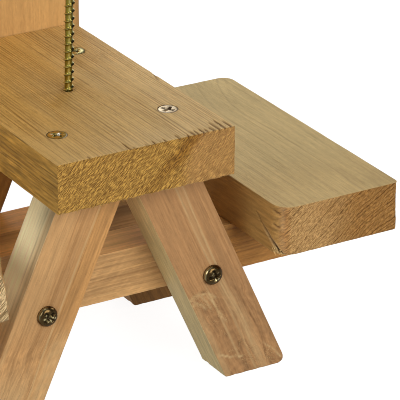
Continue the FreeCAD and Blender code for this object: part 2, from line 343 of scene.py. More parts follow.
def sawn(P, N, seed, end=0.35, side=0.10, flat=0.05, angle=42.0, bow=0.05, spacing=1.7, end_tone=0.34, side_tone=0.14, flat_tone=0.06):
    """Inward relief and tone of a sawn board: torn end grain, streaks along the grain, a little bow."""
    x, y, z = P.T
    w = np.where(y > y.mean(), 31.0, 0.0)
    torn = torn_field(x, z, w, seed, angle, spacing)
    long = fbm(x * 0.95, y * 0.030, z * 0.95, seed + 5)
    short = noise(x * 0.8, y * 0.16, z * 1.35, seed + 6)
    streak = 0.40 * long + 0.60 * short
    slow = fbm(x / 38, y / 38, z / 38, seed + 8, 2)
    s, e, f = (N * N).T
    push = -(e * end * (1 - torn) * 1.5 + s * side * (1 - streak) * 1.6 + f * flat * streak + bow * slow)
    tone = 1 + e * end_tone * 2.4 * (torn - 0.5) + (s * side_tone + f * flat_tone) * 2.6 * (streak - 0.5)
    return push, tone


def splinters(name, material, items, place, grain=1.0, span=None):
    """Torn fibres: thin closed slivers rooted in the wood. Each item: root, way, length, width, curl, tone, stain (below 0: paler), end grain."""
    V, Q, T, UQ, UT = [], [], [], [], []
    tone, stain, endg = [], [], []
    steps = (0.0, 0.3, 0.6, 0.85)
    cells = math.ceil(math.sqrt(len(items)))
    for k, (root, way, length, width, curl, lum, brown, end) in enumerate(items):
        d = np.array(way, float)
        d /= np.linalg.norm(d)
        ref = np.array([0.0, 1.0, 0.0]) if abs(d[1]) < 0.8 else np.array([1.0, 0.0, 0.0])
        s = np.cross(d, ref)
        s /= np.linalg.norm(s)
        b = np.cross(s, d)
        pts = []
        for t in steps:
            c = np.array(root, float) + d * (length * t - 0.4) + np.array(curl, float) * length * t * t
            w = width * (1 - t) ** 0.55
            pts += [c + s * w, c + b * 0.55 * w, c - s * w, c - b * 0.55 * w]
        pts.append(np.array(root, float) + d * (length - 0.4) + np.array(curl, float) * length)
        o = 17 * k
        V.append(np.array(pts))
        cu, cv = (k % cells) / cells, (k // cells) / cells
        put = lambda j, r: (cu + (0.1 + 0.2 * j) / cells, cv + (0.1 + 0.16 * r) / cells)
        for r in range(3):
            for j in range(4):
                a0, a1 = o + 4 * r + j, o + 4 * r + (j + 1) % 4
                Q.append((a0, a1, a1 + 4, a0 + 4))
                UQ.append((put(j, r), put(j + 1, r), put(j + 1, r + 1), put(j, r + 1)))
        for j in range(4):
            T.append((o + 12 + j, o + 12 + (j + 1) % 4, o + 16))
            UT.append((put(j, 3), put(j + 1, 3), put(j + 0.5, 4)))
        Q.append((o + 3, o + 2, o + 1, o))
        UQ.append((put(0, 4.4), put(1, 4.4), put(1, 5.0), put(0, 5.0)))
        tone += [lum] * 17
        stain += [brown] * 17
        endg += [end] * 17
    if span:
        # nothing stands out past the board's own two ends
        V = [v + np.array([0.0, max(0.0, span[0] - v[:, 1].min()) - max(0.0, v[:, 1].max() - span[1]), 0.0]) for v in V]
    P = np.concatenate(V)
    zero = np.zeros(len(P))
    bc = P.copy()
    bc[:, 0] *= grain
    Q, T = np.array(Q), np.array(T)
    W = place(P)
    # faces look outwards: the signed volume says which way round they are
    a, b, c, d = (W[Q[:, i]] for i in range(4))
    vol = np.einsum("ij,ij->", np.cross(b - a, c - a), a) + np.einsum("ij,ij->", np.cross(c - a, d - a), a)
    a, b, c = (W[T[:, i]] for i in range(3))
    vol += np.einsum("ij,ij->", np.cross(b - a, c - a), a)
    UQ, UT = np.array(UQ), np.array(UT)
    if vol < 0:
        Q, T, UQ, UT = Q[:, ::-1], T[:, ::-1], UQ[:, ::-1], UT[:, ::-1]
    stain = np.array(stain)
    points = {"bc": bc, "endg": np.array(endg), "tone": np.array(tone), "stain": np.maximum(stain, 0), "dark": zero, "pale": np.maximum(-stain, 0), "cast": zero}
    ob = make_object(name, W, [Q, T], [UQ, UT], points, material)
    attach(ob, "root")
    return ob


# ---------------------------------------------------------------- materials


class Graph:
    """Short calls for building a node material."""

    def __init__(self, name):
        self.mat = bpy.data.materials.new(name)
        self.mat.use_nodes = True
        self.tree = self.mat.node_tree
        self.tree.nodes.clear()
        self.out = self.tree.nodes.new("ShaderNodeOutputMaterial")
        self.bsdf = self.tree.nodes.new("ShaderNodeBsdfPrincipled")
        self.tree.links.new(self.bsdf.outputs[0], self.out.inputs[0])

    def put(self, socket, value):
        if isinstance(value, bpy.types.NodeSocket):
            self.tree.links.new(value, socket)
        elif isinstance(value, (tuple, list)) and len(value) == 3 and socket.type == "RGBA":
            socket.default_value = (*value, 1.0)
        else:
            socket.default_value = value

    def attribute(self, name, vector=False):
        n = self.tree.nodes.new("ShaderNodeAttribute")
        n.attribute_name = name
        return n.outputs["Vector" if vector else "Fac"]

    def math(self, op, a, b=None, c=None, clamp=False):
        n = self.tree.nodes.new("ShaderNodeMath")
        n.operation = op
        n.use_clamp = clamp
        for i, v in enumerate((a, b, c)):
            if v is not None:
                self.put(n.inputs[i], v)
        return n.outputs[0]

    def add(self, a, b):
        return self.math("ADD", a, b)

    def sub(self, a, b):
        return self.math("SUBTRACT", a, b)

    def mul(self, a, b, clamp=False):
        return self.math("MULTIPLY", a, b, clamp=clamp)

    def fma(self, a, b, c, clamp=False):
        return self.math("MULTIPLY_ADD", a, b, c, clamp=clamp)

    def split(self, v):
        n = self.tree.nodes.new("ShaderNodeSeparateXYZ")
        self.put(n.inputs[0], v)
        return n.outputs[0], n.outputs[1], n.outputs[2]

    def join(self, x, y, z):
        n = self.tree.nodes.new("ShaderNodeCombineXYZ")
        for i, v in enumerate((x, y, z)):
            self.put(n.inputs[i], v)
        return n.outputs[0]

    def scaled(self, v, s):
        n = self.tree.nodes.new("ShaderNodeVectorMath")
        n.operation = "MULTIPLY"
        self.put(n.inputs[0], v)
        n.inputs[1].default_value = s
        return n.outputs[0]

    def noise(self, v, scale=(1, 1, 1), detail=2.0, rough=0.5, twist=0.0):
        n = self.tree.nodes.new("ShaderNodeTexNoise")
        n.noise_dimensions = "3D"
        self.put(n.inputs["Vector"], self.scaled(v, scale))
        n.inputs["Scale"].default_value = 1.0
        n.inputs["Detail"].default_value = detail
        n.inputs["Roughness"].default_value = rough
        n.inputs["Distortion"].default_value = twist
        return n.outputs[0]

    def ramp(self, x, a, b, lo=0.0, hi=1.0, smoothly=True):
        n = self.tree.nodes.new("ShaderNodeMapRange")
        n.interpolation_type = "SMOOTHSTEP" if smoothly else "LINEAR"
        n.clamp = True
        self.put(n.inputs[0], x)
        for i, v in enumerate((a, b, lo, hi)):
            self.put(n.inputs[1 + i], v)
        return n.outputs[0]

    def mix(self, f, a, b, mode="MIX"):
        n = self.tree.nodes.new("ShaderNodeMix")
        n.data_type = "RGBA"
        n.blend_type = mode
        n.clamp_factor = True
        self.put(n.inputs[0], f)
        self.put(n.inputs[6], a)
        self.put(n.inputs[7], b)
        return n.outputs[2]

    def white(self, w):
        n = self.tree.nodes.new("ShaderNodeTexWhiteNoise")
        n.noise_dimensions = "1D"
        self.put(n.inputs["W"], w)
        return n.outputs[0]

    def grey(self, v):
        return self.join(v, v, v)

    def times(self, col, v):
        return self.mix(1.0, col, self.grey(v), "MULTIPLY")

    def bump(self, height, distance, strength=1.0, normal=None):
        n = self.tree.nodes.new("ShaderNodeBump")
        n.inputs["Strength"].default_value = strength
        n.inputs["Distance"].default_value = distance
        self.put(n.inputs["Height"], height)
        if normal is not None:
            self.put(n.inputs["Normal"], normal)
        return n.outputs[0]

    def band(self, x, centre, half, soft):
        """1 within half of centre, falling to 0 over soft."""
        d = self.math("ABSOLUTE", self.sub(x, centre))
        return self.ramp(d, half, half + soft, 1.0, 0.0)


def cedar(
    name,
    pith,
    ring,
    early,
    late,
    end_light,
    end_dark,
    seed=0.0,
    wob=2.0,
    tilt=(0.0, 0.0),
    ring_gain=0.6,
    fibre=0.25,
    fleck=0.3,
    streak=0.3,
    lined=0.25,
    angle=42.0,
    torn=1.0,
    end_ring=0.42,
    end_base=0.34,
    relief=1.0,
    end_scale=1.0,
    stroke=(0.50, 1.9),
    woolly=0.9,
    lumps=0.5,
    fuzz=0.17,
    broken=0.0,
    late_from=0.30,
    bend=0.0,
    cast_to=None,
    pale=(0.70, 0.52, 0.29),
    cast=(0.85, 0.85, 0.85),
    brown=(0.15, 0.07, 0.022),
    tint=None,
    end_tint=None,
):
    """Cedar cut from a log: growth rings about the pith line, fibres and flecks along the grain, torn end grain."""
    g = Graph(name)
    bc = g.attribute("bc", True)
    endg = g.attribute("endg")
    x, y, z = g.split(bc)
    here = g.join(g.add(x, seed * 37.0), g.add(y, seed * 11.0), g.add(z, seed * 53.0))
    # rings
    w1 = g.sub(g.noise(here, (0.022, 0.005, 0.022), 1.0), 0.5)
    w2 = g.sub(g.noise(here, (0.12, 0.014, 0.12), 2.0), 0.5)
    dx, dz = g.sub(x, pith[0]), g.sub(z, pith[1])
    if tilt != (0.0, 0.0):
        dx, dz = g.sub(dx, g.mul(y, tilt[0])), g.sub(dz, g.mul(y, tilt[1]))
    if bend:
        # the grain swings outwards towards the back end
        far = g.math("MAXIMUM", g.sub(y, 96.0), 0.0)
        dx = g.sub(dx, g.mul(g.mul(far, far), bend))
    r = g.math("SQRT", g.add(g.mul(dx, dx), g.mul(dz, dz)))
    r = g.add(r, g.add(g.mul(w1, 4.0 * wob), g.mul(w2, 0.5 * wob)))
    uneven = g.noise(g.join(g.mul(r, 0.13), seed, 0.0), (1, 1, 1), 1.0)
    phase = g.add(g.mul(r, 1.0 / ring), g.mul(uneven, 3.0))
    f = g.math("FRACT", phase)
    each = g.white(g.math("FLOOR", phase))
    lateness = g.mul(g.ramp(f, late_from, 0.86), g.ramp(f, 0.9, 1.0, 1.0, 0.0))
    ringed = g.mul(lateness, g.fma(each, 0.75, 0.25))
    # fibres, streaks and flecks
    fine = g.noise(here, (1.35, 0.04, 1.35), 3.0, 0.65)
    hair = g.noise(here, (6.0, 0.16, 6.0), 1.0, 0.5)
    broad = g.noise(here, (0.35, 0.006, 0.35), 2.0, 0.55)
    patch = g.noise(here, (0.045, 0.02, 0.045), 2.0, 0.5)
    dash = g.ramp(g.noise(here, (1.5, 0.10, 1.5), 2.0, 0.6), 0.58, 0.70)
    line = g.ramp(g.noise(here, (0.95, 0.008, 0.95), 2.0, 0.6), 0.56, 0.68)
    gaps = g.ramp(g.noise(here, (0.9, 0.045, 0.9), 2.0, 0.6), 0.36, 0.58, 1.0 - broken, 1.0 + 0.3 * broken)
    col = g.mix(g.mul(g.mul(ringed, gaps), ring_gain), early, late)
    col = g.times(col, g.fma(g.sub(fine, 0.5), 2.0 * fibre, 1.0))
    col = g.times(col, g.fma(g.sub(broad, 0.5), 2.0 * streak, 1.0))
    col = g.times(col, g.fma(g.sub(g.noise(here, (1.1, 0.32, 1.1), 2.0, 0.6), 0.5), 2.0 * fuzz, 1.0))
    col = g.times(col, g.fma(g.sub(patch, 0.5), 0.35, 1.0))
    col = g.mix(g.mul(dash, fleck), col, late)
    col = g.mix(g.mul(line, lined), col, late)
    if tint:
        col = tint(g, x, y, z, here, col)
    # end grain
    a = math.radians(angle)
    t = g.add(g.mul(x, math.cos(a)), g.mul(z, math.sin(a)))
    c = g.sub(g.mul(z, math.cos(a)), g.mul(x, math.sin(a)))
    side = g.add(g.mul(y, 0.31), seed * 7.0)
    drift = g.sub(g.noise(g.join(t, c, side), (0.10, 0.10, 1.0), 1.0), 0.5)
    along = g.join(t, g.add(c, g.mul(drift, 3.0)), side)
    f1 = g.ramp(g.noise(along, (stroke[0] * end_scale, stroke[1] * end_scale, 1.0), 1.0, 0.5), 0.34, 0.60)
    f2 = g.noise(along, (1.4 * end_scale, 2.8 * end_scale, 1.0), 1.0, 0.5)
    f3 = g.noise(along, (0.05, 0.07, 1.0), 2.0, 0.5)
    rough_mask = g.add(g.add(g.mul(g.sub(f1, 0.5), 1.0), g.mul(g.sub(f2, 0.5), woolly)), g.mul(g.sub(f3, 0.5), lumps))
    e = g.add(g.mul(rough_mask, 0.5 * torn), g.add(end_base, g.mul(ringed, end_ring)))
    e = g.math("MINIMUM", g.math("MAXIMUM", e, 0.0), 1.0)
    ecol = g.mix(e, end_light, end_dark)
    if end_tint:
        ecol = end_tint(g, x, y, z, here, ecol, ringed)
    col = g.mix(endg, col, ecol)
    col = g.times(col, g.attribute("tone"))
    # cast tints real colour changes such as bleaching, and also carries painted shade (under the benches, along the
    # rear crossbar, on the benches' inner sides) and painted light (on the front right leg's inner side)
    if cast_to:
        faded = g.fma(g.sub(fine, 0.5), 0.34, g.fma(g.sub(broad, 0.5), 0.3, g.sub(1.0, g.mul(line, 0.06))))
        col = g.mix(g.attribute("cast"), col, g.times(cast_to, g.mul(faded, g.attribute("tone"))))
    else:
        col = g.mix(g.attribute("cast"), col, g.mix(1.0, col, cast, "MULTIPLY"))
    # pale marks are paler grain, bleaching and worn arrises, and in places painted light: the front crossbar's top and
    # a painted highlight beside the bench crack
    col = g.mix(g.mul(g.attribute("pale"), 0.85), col, g.times(pale, g.fma(g.sub(fine, 0.5), 1.2 * fibre + 0.1, 1.0)))
    col = g.mix(g.mul(g.attribute("stain"), 0.85), col, brown)
    # dark marks are painted shade: at the rims of holes and screw seats, on the hole walls and in the bench crack
    col = g.mix(g.mul(g.attribute("dark"), 0.88), col, (0.035, 0.018, 0.006))
    g.put(g.bsdf.inputs["Base Color"], col)
    # gloss
    rg = g.fma(fine, 0.18, 0.52)
    rg = g.add(rg, g.mul(endg, 0.18))
    g.put(g.bsdf.inputs["Roughness"], g.add(rg, g.mul(ringed, -0.06)))
    g.bsdf.inputs["Specular IOR Level"].default_value = 0.25
    # relief finer than the mesh
    h = g.add(g.mul(fine, 0.30), g.add(g.mul(hair, 0.16), g.mul(ringed, -0.22)))
    h = g.add(h, g.add(g.mul(dash, -0.18), g.mul(line, -0.14)))
    he = g.add(g.mul(f1, -0.30 * torn), g.add(g.mul(f2, -0.35 * torn), g.mul(ringed, 0.3)))
    h = g.add(g.mul(h, g.sub(1.0, endg)), g.mul(he, endg))
    g.put(g.bsdf.inputs["Normal"], g.bump(h, 0.00042 * relief))
    return g.mat


def metal(name, light, deep, grime_and_shade, rough=(0.22, 0.42), cast=(0.6, 0.5, 0.3), bright=(0.96, 0.93, 0.86), bump=0.00003, matt=0.5):
    """Plated steel: cloudy passivation colour, fine scratches, darkening in the recesses and on the thread flanks that
    is partly soiling and partly painted shade, and painted highlights.
    """
    g = Graph(name)
    bc = g.attribute("bc", True)
    dirt_and_shade = g.attribute("dark")
    shine = g.attribute("shine")
    cloud = g.noise(bc, (0.45, 0.45, 0.45), 3.0, 0.6, 0.4)
    spot = g.noise(bc, (2.4, 2.4, 2.4), 2.0, 0.6)
    scratch = g.noise(bc, (7.0, 1.2, 3.0), 2.0, 0.6)
    col = g.mix(g.ramp(cloud, 0.35, 0.65), light, deep)
    col = g.mix(g.ramp(spot, 0.52, 0.75, 0.0, 0.55), col, cast)
    # the dark mark is partly soiling and partly painted shade; shine mixes in painted highlights
    col = g.mix(g.mul(dirt_and_shade, g.ramp(spot, 0.2, 0.6, 0.8, 1.0)), col, grime_and_shade)
    col = g.mix(shine, col, bright)
    g.put(g.bsdf.inputs["Base Color"], col)
    g.put(g.bsdf.inputs["Metallic"], g.sub(g.ramp(dirt_and_shade, 0.3, 1.0, 1.0, 0.5), g.mul(shine, matt)))
    g.put(g.bsdf.inputs["Specular IOR Level"], g.ramp(dirt_and_shade, 0.3, 0.9, 0.5, 0.06))
    rr = g.ramp(scratch, 0.3, 0.7, rough[0], rough[1])
    g.put(g.bsdf.inputs["Roughness"], g.add(rr, g.mul(dirt_and_shade, 0.2)))
    g.put(g.bsdf.inputs["Normal"], g.bump(g.add(g.mul(scratch, 0.5), g.mul(spot, 0.7)), bump))
    return g.mat


# ---------------------------------------------------------------- timber


def top_tint(g, x, y, z, here, col):
    # the heart side towards the back and left is golden, the front and right have weathered to beige
    n = g.sub(g.noise(here, (0.10, 0.012, 0.10), 2.0), 0.5)
    s = g.add(g.add(g.mul(x, -0.011), g.mul(y, 0.006)), g.mul(n, 0.7))
    gold = g.ramp(s, -0.28, 0.95)
    return g.mix(gold, col, g.mix(1.0, col, (0.88, 0.72, 0.41), "MULTIPLY"))


def top_end_tint(g, x, y, z, here, col, ringed):
    # right third of the end: smoother and pinker; a dark ring band before it
    n = g.sub(g.noise(here, (0.09, 0.02, 0.09), 2.0), 0.5)
    s = g.add(g.add(x, g.mul(z, -0.35)), g.mul(n, 12.0))
    pink = g.ramp(s, 12.0, 22.0)
    col = g.mix(g.mul(pink, 0.40), col, (0.43, 0.225, 0.055))
    col = g.mix(g.mul(pink, 0.75), col, g.mix(1.0, col, (1.08, 1.08, 1.56), "MULTIPLY"))
    lean = g.add(g.sub(x, g.mul(z, 1.02)), g.mul(n, 7.0))
    dim = g.band(lean, 1.0, 2.2, 5.0)
    return g.mix(g.mul(g.mul(dim, 0.85), g.ramp(z, 2.0, 17.0, 0.35, 1.0)), col, g.mix(1.0, col, (0.63, 0.52, 0.31), "MULTIPLY"))


MAT_TOP = cedar(
    "cedar_rough_sawn", (-134.0, 120.0), 1.2, (0.625, 0.43, 0.188), (0.325, 0.19, 0.062),
    (0.585, 0.322, 0.066), (0.135, 0.056, 0.0070), seed=1.0, broken=0.55, ring_gain=0.90, fibre=0.30, fleck=0.34, streak=0.20, lined=0.36,
    angle=44.0, torn=2.15, stroke=(0.38, 2.4), woolly=0.8, lumps=0.25, end_ring=0.36, end_base=0.17, end_scale=1.0, brown=(0.120, 0.046, 0.012), pale=(0.66, 0.47, 0.20), cast=(0.90, 0.82, 0.52), tint=top_tint, end_tint=top_end_tint,
)
# the front right leg's cast colour makes its inner side paler and greyer: painted light
MAT_LEG_FR = cedar(
    "cedar_leg_front_right", (-60.0, 150.0), 1.1, (0.435, 0.230, 0.093), (0.305, 0.145, 0.051), (0.44, 0.25, 0.10), (0.16, 0.075, 0.022),
    seed=2.0, ring_gain=0.40, fibre=0.31, fleck=0.20, streak=0.15, lined=0.22, wob=1.5, pale=(0.585, 0.40, 0.19), cast=(1.36, 2.0, 2.25),
)



def left_leg_tint(g, x, y, z, here, col):
    # heartwood on the inner edge is a warmer orange
    n = g.sub(g.noise(here, (0.3, 0.02, 0.3), 2.0), 0.5)
    warm = g.mul(g.ramp(g.add(x, g.mul(n, 3.0)), -10.4, -8.2), g.ramp(y, 36.0, 62.0, 0.25, 1.0))
    return g.mix(warm, col, g.mix(1.0, col, (1.06, 1.01, 0.88), "MULTIPLY"))


MAT_LEG_FL = cedar(
    "cedar_leg_front_left", (70.0, 130.0), 1.2, (0.525, 0.283, 0.110), (0.37, 0.180, 0.058), (0.46, 0.26, 0.10), (0.16, 0.075, 0.022),
    seed=3.0, ring_gain=0.42, fibre=0.29, fleck=0.22, streak=0.20, lined=0.30, wob=1.5, pale=(0.66, 0.45, 0.215), cast_to=(0.92, 0.77, 0.44), tint=left_leg_tint,
)
# rear legs: colours darker and redder than the front legs', as painted shade under the table; cast greys the right one
# high up
MAT_LEG_R_SHADED = cedar(
    "cedar_leg_rear_shaded", (-40.0, 120.0), 1.4, (0.35, 0.162, 0.036), (0.21, 0.089, 0.016), (0.42, 0.24, 0.10), (0.15, 0.07, 0.02),
    seed=4.0, ring_gain=0.5, fibre=0.18, fleck=0.2, streak=0.22, lined=0.3, wob=1.6, pale=(0.60, 0.40, 0.18), cast=(0.84, 1.15, 1.5),
)
# crossbars: cast is the redder colour of their painted shade under the benches and along the rear crossbar
MAT_BAR = cedar(
    "cedar_crossbars", (34.0, -70.0), 2.0, (0.57, 0.33, 0.134), (0.33, 0.165, 0.055), (0.46, 0.28, 0.11), (0.16, 0.08, 0.022),
    seed=5.0, ring_gain=0.5, fibre=0.2, fleck=0.30, streak=0.2, lined=0.30, wob=2.2, pale=(0.64, 0.43, 0.20), cast=(0.90, 0.68, 0.30),
)


def bench_end_tint(g, x, y, z, here, col, ringed):
    # the rings stand out on the outer half, the inner half is pink and woolly
    n = g.sub(g.noise(here, (0.07, 0.02, 0.07), 2.0), 0.5)
    outer = g.ramp(g.add(x, g.mul(n, 22.0)), -16.0, 14.0)
    col = g.mix(g.mul(outer, g.fma(ringed, 0.45, 0.55)), col, g.mix(1.0, col, (0.62, 0.42, 0.07), "MULTIPLY"))
    return col


# benches: cast is the darker, redder colour of the painted shade on their inner sides
MAT_BENCH = cedar(
    "cedar_benches", (65.0, -73.0), 1.8, (0.600, 0.445, 0.200), (0.38, 0.25, 0.096), (0.51, 0.296, 0.110), (0.150, 0.072, 0.016),
    seed=6.0, ring_gain=0.36, fibre=0.26, fleck=0.26, streak=0.10, lined=0.26, wob=2.6, angle=42.0, torn=1.5, end_ring=0.52, end_base=0.165, late_from=0.50, bend=0.0042,
    pale=(0.64, 0.46, 0.235), cast=(0.80, 0.57, 0.33), end_tint=bench_end_tint,
)
MAT_BENCH_L = cedar(
    "cedar_bench_left", (-52.0, 138.0), 1.8, (0.59, 0.435, 0.195), (0.38, 0.25, 0.096), (0.70, 0.50, 0.255), (0.15, 0.082, 0.022),
    seed=8.0, stroke=(0.22, 1.8), woolly=0.35, lumps=0.2, ring_gain=0.36, fibre=0.26, fleck=0.26, streak=0.10, lined=0.26, wob=2.6, angle=45.0, torn=2.0, end_ring=0.10, end_base=0.26, end_scale=1.0, late_from=0.50, bend=0.0042,
    pale=(0.70, 0.54, 0.33), cast=(0.80, 0.57, 0.33),
)
MAT_BACK = cedar(
    "cedar_backboard", (-20.0, -160.0), 1.5, (0.60, 0.335, 0.115), (0.44, 0.225, 0.07), (0.46, 0.27, 0.10), (0.16, 0.08, 0.02),
    seed=7.0, ring_gain=0.42, fibre=0.12, fleck=0.15, streak=0.14, lined=0.2, wob=1.6, pale=(0.68, 0.44, 0.19),
)
# the third colour is for soiling and painted shade, a last bright colour for painted highlights
MAT_ZINC = metal("yellow_zinc_steel", (0.40, 0.310, 0.040), (0.32, 0.255, 0.034), (0.005, 0.003, 0.001), (0.20, 0.30), (0.44, 0.345, 0.062), (0.97, 0.90, 0.44), bump=0.00001, matt=0.85)
MAT_SILVER = metal("yellow_zinc_bright", (0.94, 0.78, 0.525), (0.76, 0.61, 0.40), (0.022, 0.008, 0.003), (0.34, 0.48), (0.78, 0.58, 0.43))
MAT_DULL = metal("yellow_zinc_dull", (0.55, 0.425, 0.115), (0.41, 0.31, 0.078), (0.02, 0.012, 0.004), (0.20, 0.34), (0.60, 0.48, 0.24))
MAT_PALE = metal("yellow_zinc_pale", (0.70, 0.645, 0.285), (0.51, 0.455, 0.17), (0.04, 0.022, 0.008), (0.16, 0.30), (0.68, 0.63, 0.36))
MAT_BRONZE = metal("bronze_coated_steel", (0.115, 0.072, 0.028), (0.068, 0.041, 0.016), (0.007, 0.0045, 0.0016), (0.12, 0.24), (0.17, 0.112, 0.034), (0.98, 0.84, 0.44))

# ---- tabletop
SLITS = [
    (-28.3, 3.4, 0.25), (-8.3, 9.1, 0.28), (-6.1, 2.6, 0.25), (-0.1, 2.6, 0.25), (4.2, 4.3, 0.28), (9.4, 3.8, 0.28),
    (16.2, 5.2, 0.30), (20.9, 2.6, 0.28), (24.0, 6.0, 0.32), (25.9, 5.8, 0.30), (28.7, 6.8, 0.34), (30.9, 4.8, 0.32),
    (33.6, 5.8, 0.32), (36.4, 11.4, 0.32), (39.5, 12.5, 0.33), (42.5, 9.8, 0.33),
]
TOP_SCREWS = [(-28.4, 30.4), (28.5, 32.2), (-28.5, 115.4), (27.0, 116.8)]


def top_place(Q):
    return Q + np.array([0.0, -81.7, 110.2])


def top_radius(P):
    x, y, z = P.T
    front = y < 1.6
    r = 0.30 + 0.35 * fbm(x * 0.5, y * 0.12, z * 0.5, 101)
    ragged = 0.25 + 1.1 * fbm(x * 0.8, 0.0, z * 0.05, 102) ** 2
    low = 0.30 + 1.5 * fbm(x * 0.55, 0.0, 3.0, 103) ** 2
    return np.where(front, np.where(z > 11, ragged, low), r)


def top_relief(P, N):
    x, y, z = P.T
    push, tone = sawn(P, N, 1, end=0.22, side=0.26, flat=0.05, angle=42, bow=0.06, spacing=1.0, end_tone=0.17, side_tone=0.54, flat_tone=0.05)
    # the right third of the front end is smoother
    front = smooth(0.4, 0.8, -N[:, 1])
    calm = front * smooth(14, 26, x - 0.35 * z)
    push *= 1 - 0.35 * calm
    tone = tone * (1 - calm) + (1 + 0.85 * (tone - 1)) * calm
    top = smooth(0.2, 0.6, N[:, 2])
    stain = np.zeros(len(P))
    pale = 0.55 * arris(N) * (0.4 + noise(x * 0.4, y * 0.1, z * 0.4, 104))
    # the slits are pushed in and painted brown: painted shade in the grooves, with a paler lip beside each
    face = front * smooth(20.5, 23.0, z)
    for k, (sx, length, half) in enumerate(SLITS):
        wander = sx + 0.25 * (noise(y * 0.35, k * 3.7, 0, 9) - 0.5)
        groove = np.exp(-((x - wander) / (1.35 * half)) ** 2)
        fade = 1 - smooth(0.6 * length, length, y)
        g = groove * fade * top
        h = groove * face * 0.8
        push -= 0.8 * g + 0.7 * h
        stain = np.maximum(stain, np.minimum(1.5 * g, 1.0) + 0.6 * h)
        lip = np.exp(-((x - wander - 2.0 * half) / half) ** 2) * fade * top
        pale = np.maximum(pale, 0.4 * lip)
    # a crack, pushed in and painted brown as painted shade in it
    d, t = to_path(x, y, [(44.6, 73.5), (43.6, 69.5), (42.4, 65.6)])
    g = np.exp(-(d / 0.45) ** 2) * top
    push -= 0.7 * g
    stain = np.maximum(stain, 0.75 * g)
    # a soft brown cloud before the cob screw, a darker brown ring at its foot
    d, t = to_path(x, y, [(-4.6, 68.6), (-9.5, 64.0), (-13.0, 60.5)])
    cloud = np.exp(-(d / 4.2) ** 2) * top * (0.5 + 0.6 * fbm(x * 0.3, y * 0.05, 0, 105))
    tone -= 0.06 * cloud
    stain = np.maximum(stain, 0.10 * cloud)
    d = np.hypot(x - 0.37, y - 73.8)
    collar = top * smooth(4.8, 2.6, d) * (0.35 + 0.9 * noise(x * 0.9, y * 0.9, 0, 106))
    stain = np.maximum(stain, 0.36 * collar)
    # a little darker round the heads
    for sx, sy in TOP_SCREWS:
        d = np.hypot(x - sx, y - sy)
        tone -= 0.18 * top * smooth(6.4, 4.7, d) * noise(x * 0.5, y * 0.5, 0, 107)
    side = smooth(0.4, 0.8, -N[:, 0])
    edge = side * smooth(20.5, 23.0, z)
    tone -= 0.10 * edge * noise(y * 0.2, z, 0, 108) + 0.055 * side
    tone += top * (0.07 * band(x, 32, 8, 8) * band(y, 78, 12, 15) - 0.03 * smooth(80, 110, y))
    pale = np.maximum(pale, top * (0.23 * smooth(-24, -34, x) * smooth(45, 20, y) + 0.23 * band(x, 27, 9, 12) * band(y, 74, 14, 16)))
    cast = np.maximum(np.maximum(side * 0.95, 0.7 * cloud), 0.28 * top * band(x, 5, 14, 14) * band(y, 42, 18, 18))
    return push, {"tone": tone, "stain": stain, "pale": pale * (1 - 0.6 * front), "cast": cast}


def pierce(m):
    return np.interp(m, [0, 1.5, 1.76, 2.0, 2.5, 3.2, 4.0], [3.0, 2.6, 0.35, -0.12, -0.26, -0.10, 0.0])


need_x = [v for s in SLITS for v in (s[0] - 0.38, s[0], s[0] + 0.38)]
need_x += rings(-28.45, 4.6) + rings(27.8, 4.6) + rings(-0.34, 4.6) + rings(0.37, 2.0)
need_y = rings(30.4, 4.6) + rings(32.2, 4.6) + rings(116.1, 4.6) + rings(73.8, 4.6) + rings(73.8, 2.0)
board(
    "tabletop_wood", "tabletop", MAT_TOP,
    lines(-44.5, 44.5, 0.5, need_x), lines(0.0, 150.0, 2.4, need_y, [(0.0, 13.0, 0.9)]), lines(0.0, 23.4, 0.48),
    top_place, top_radius, top_relief,
    cups=[(1, sx, sy, 4.6, csk) for sx, sy in TOP_SCREWS] + [(-1, -0.34, 73.8, 4.6, csk), (1, 0.37, 73.8, 2.0, pierce)],
)

rng = np.random.default_rng(11)
tufts = []
for i in range(2400):
    x, z = rng.uniform(-44.0, 44.0), rng.uniform(0.4, 23.0)
    if x - 0.35 * z > 16 and rng.random() < 0.7:
        continue
    a = math.radians(42 + rng.normal(0, 16) + (180 if rng.random() < 0.5 else 0))
    out = rng.uniform(0.03, 0.18)
    tufts.append(((x, 0.62, z), (math.cos(a), -0.42 - out, math.sin(a)), rng.uniform(0.9, 2.4), rng.uniform(0.07, 0.14),
                  (0, 0.45 + out * 0.5, 0), rng.uniform(0.85, 1.85), 0.0, 1.0))
for i in range(190):
    x = rng.uniform(-44.2, 44.2)
    if noise(x * 0.12, 0, 0, 12) < 0.3:
        continue
    long = rng.uniform(0.7, 2.1) * (0.6 if x > 20 else 1.0)
    tufts.append(((x, rng.uniform(0.5, 1.2), rng.uniform(0.35, 0.9)), (rng.normal(0, 0.35), rng.uniform(-0.45, -0.05), -1.0), long,
                  rng.uniform(0.10, 0.20), (rng.normal(0, 0.2), -0.15, 0.1), rng.uniform(0.9, 1.5), 0.0, 1.0))
for i in range(110):
    x = rng.uniform(-44.0, 43.0)
    tufts.append(((x, 0.9, 22.9), (rng.normal(0, 0.5), -0.8, rng.uniform(-0.1, 0.30)), rng.uniform(0.7, 1.5), rng.uniform(0.10, 0.18),
                  (0, 0, -0.2), rng.uniform(1.0, 1.5), 0.0, 0.8))
for i in range(40):
    y, z = rng.uniform(2, 148), rng.uniform(0.5, 1.0)
    tufts.append(((-43.9, y, z), (-0.5, rng.choice([-1.0, 1.0]) * 0.9, -0.55), rng.uniform(0.9, 2.4), rng.uniform(0.10, 0.18), (0.15, 0, 0.2), rng.uniform(0.9, 1.3), 0.0, 0.3))
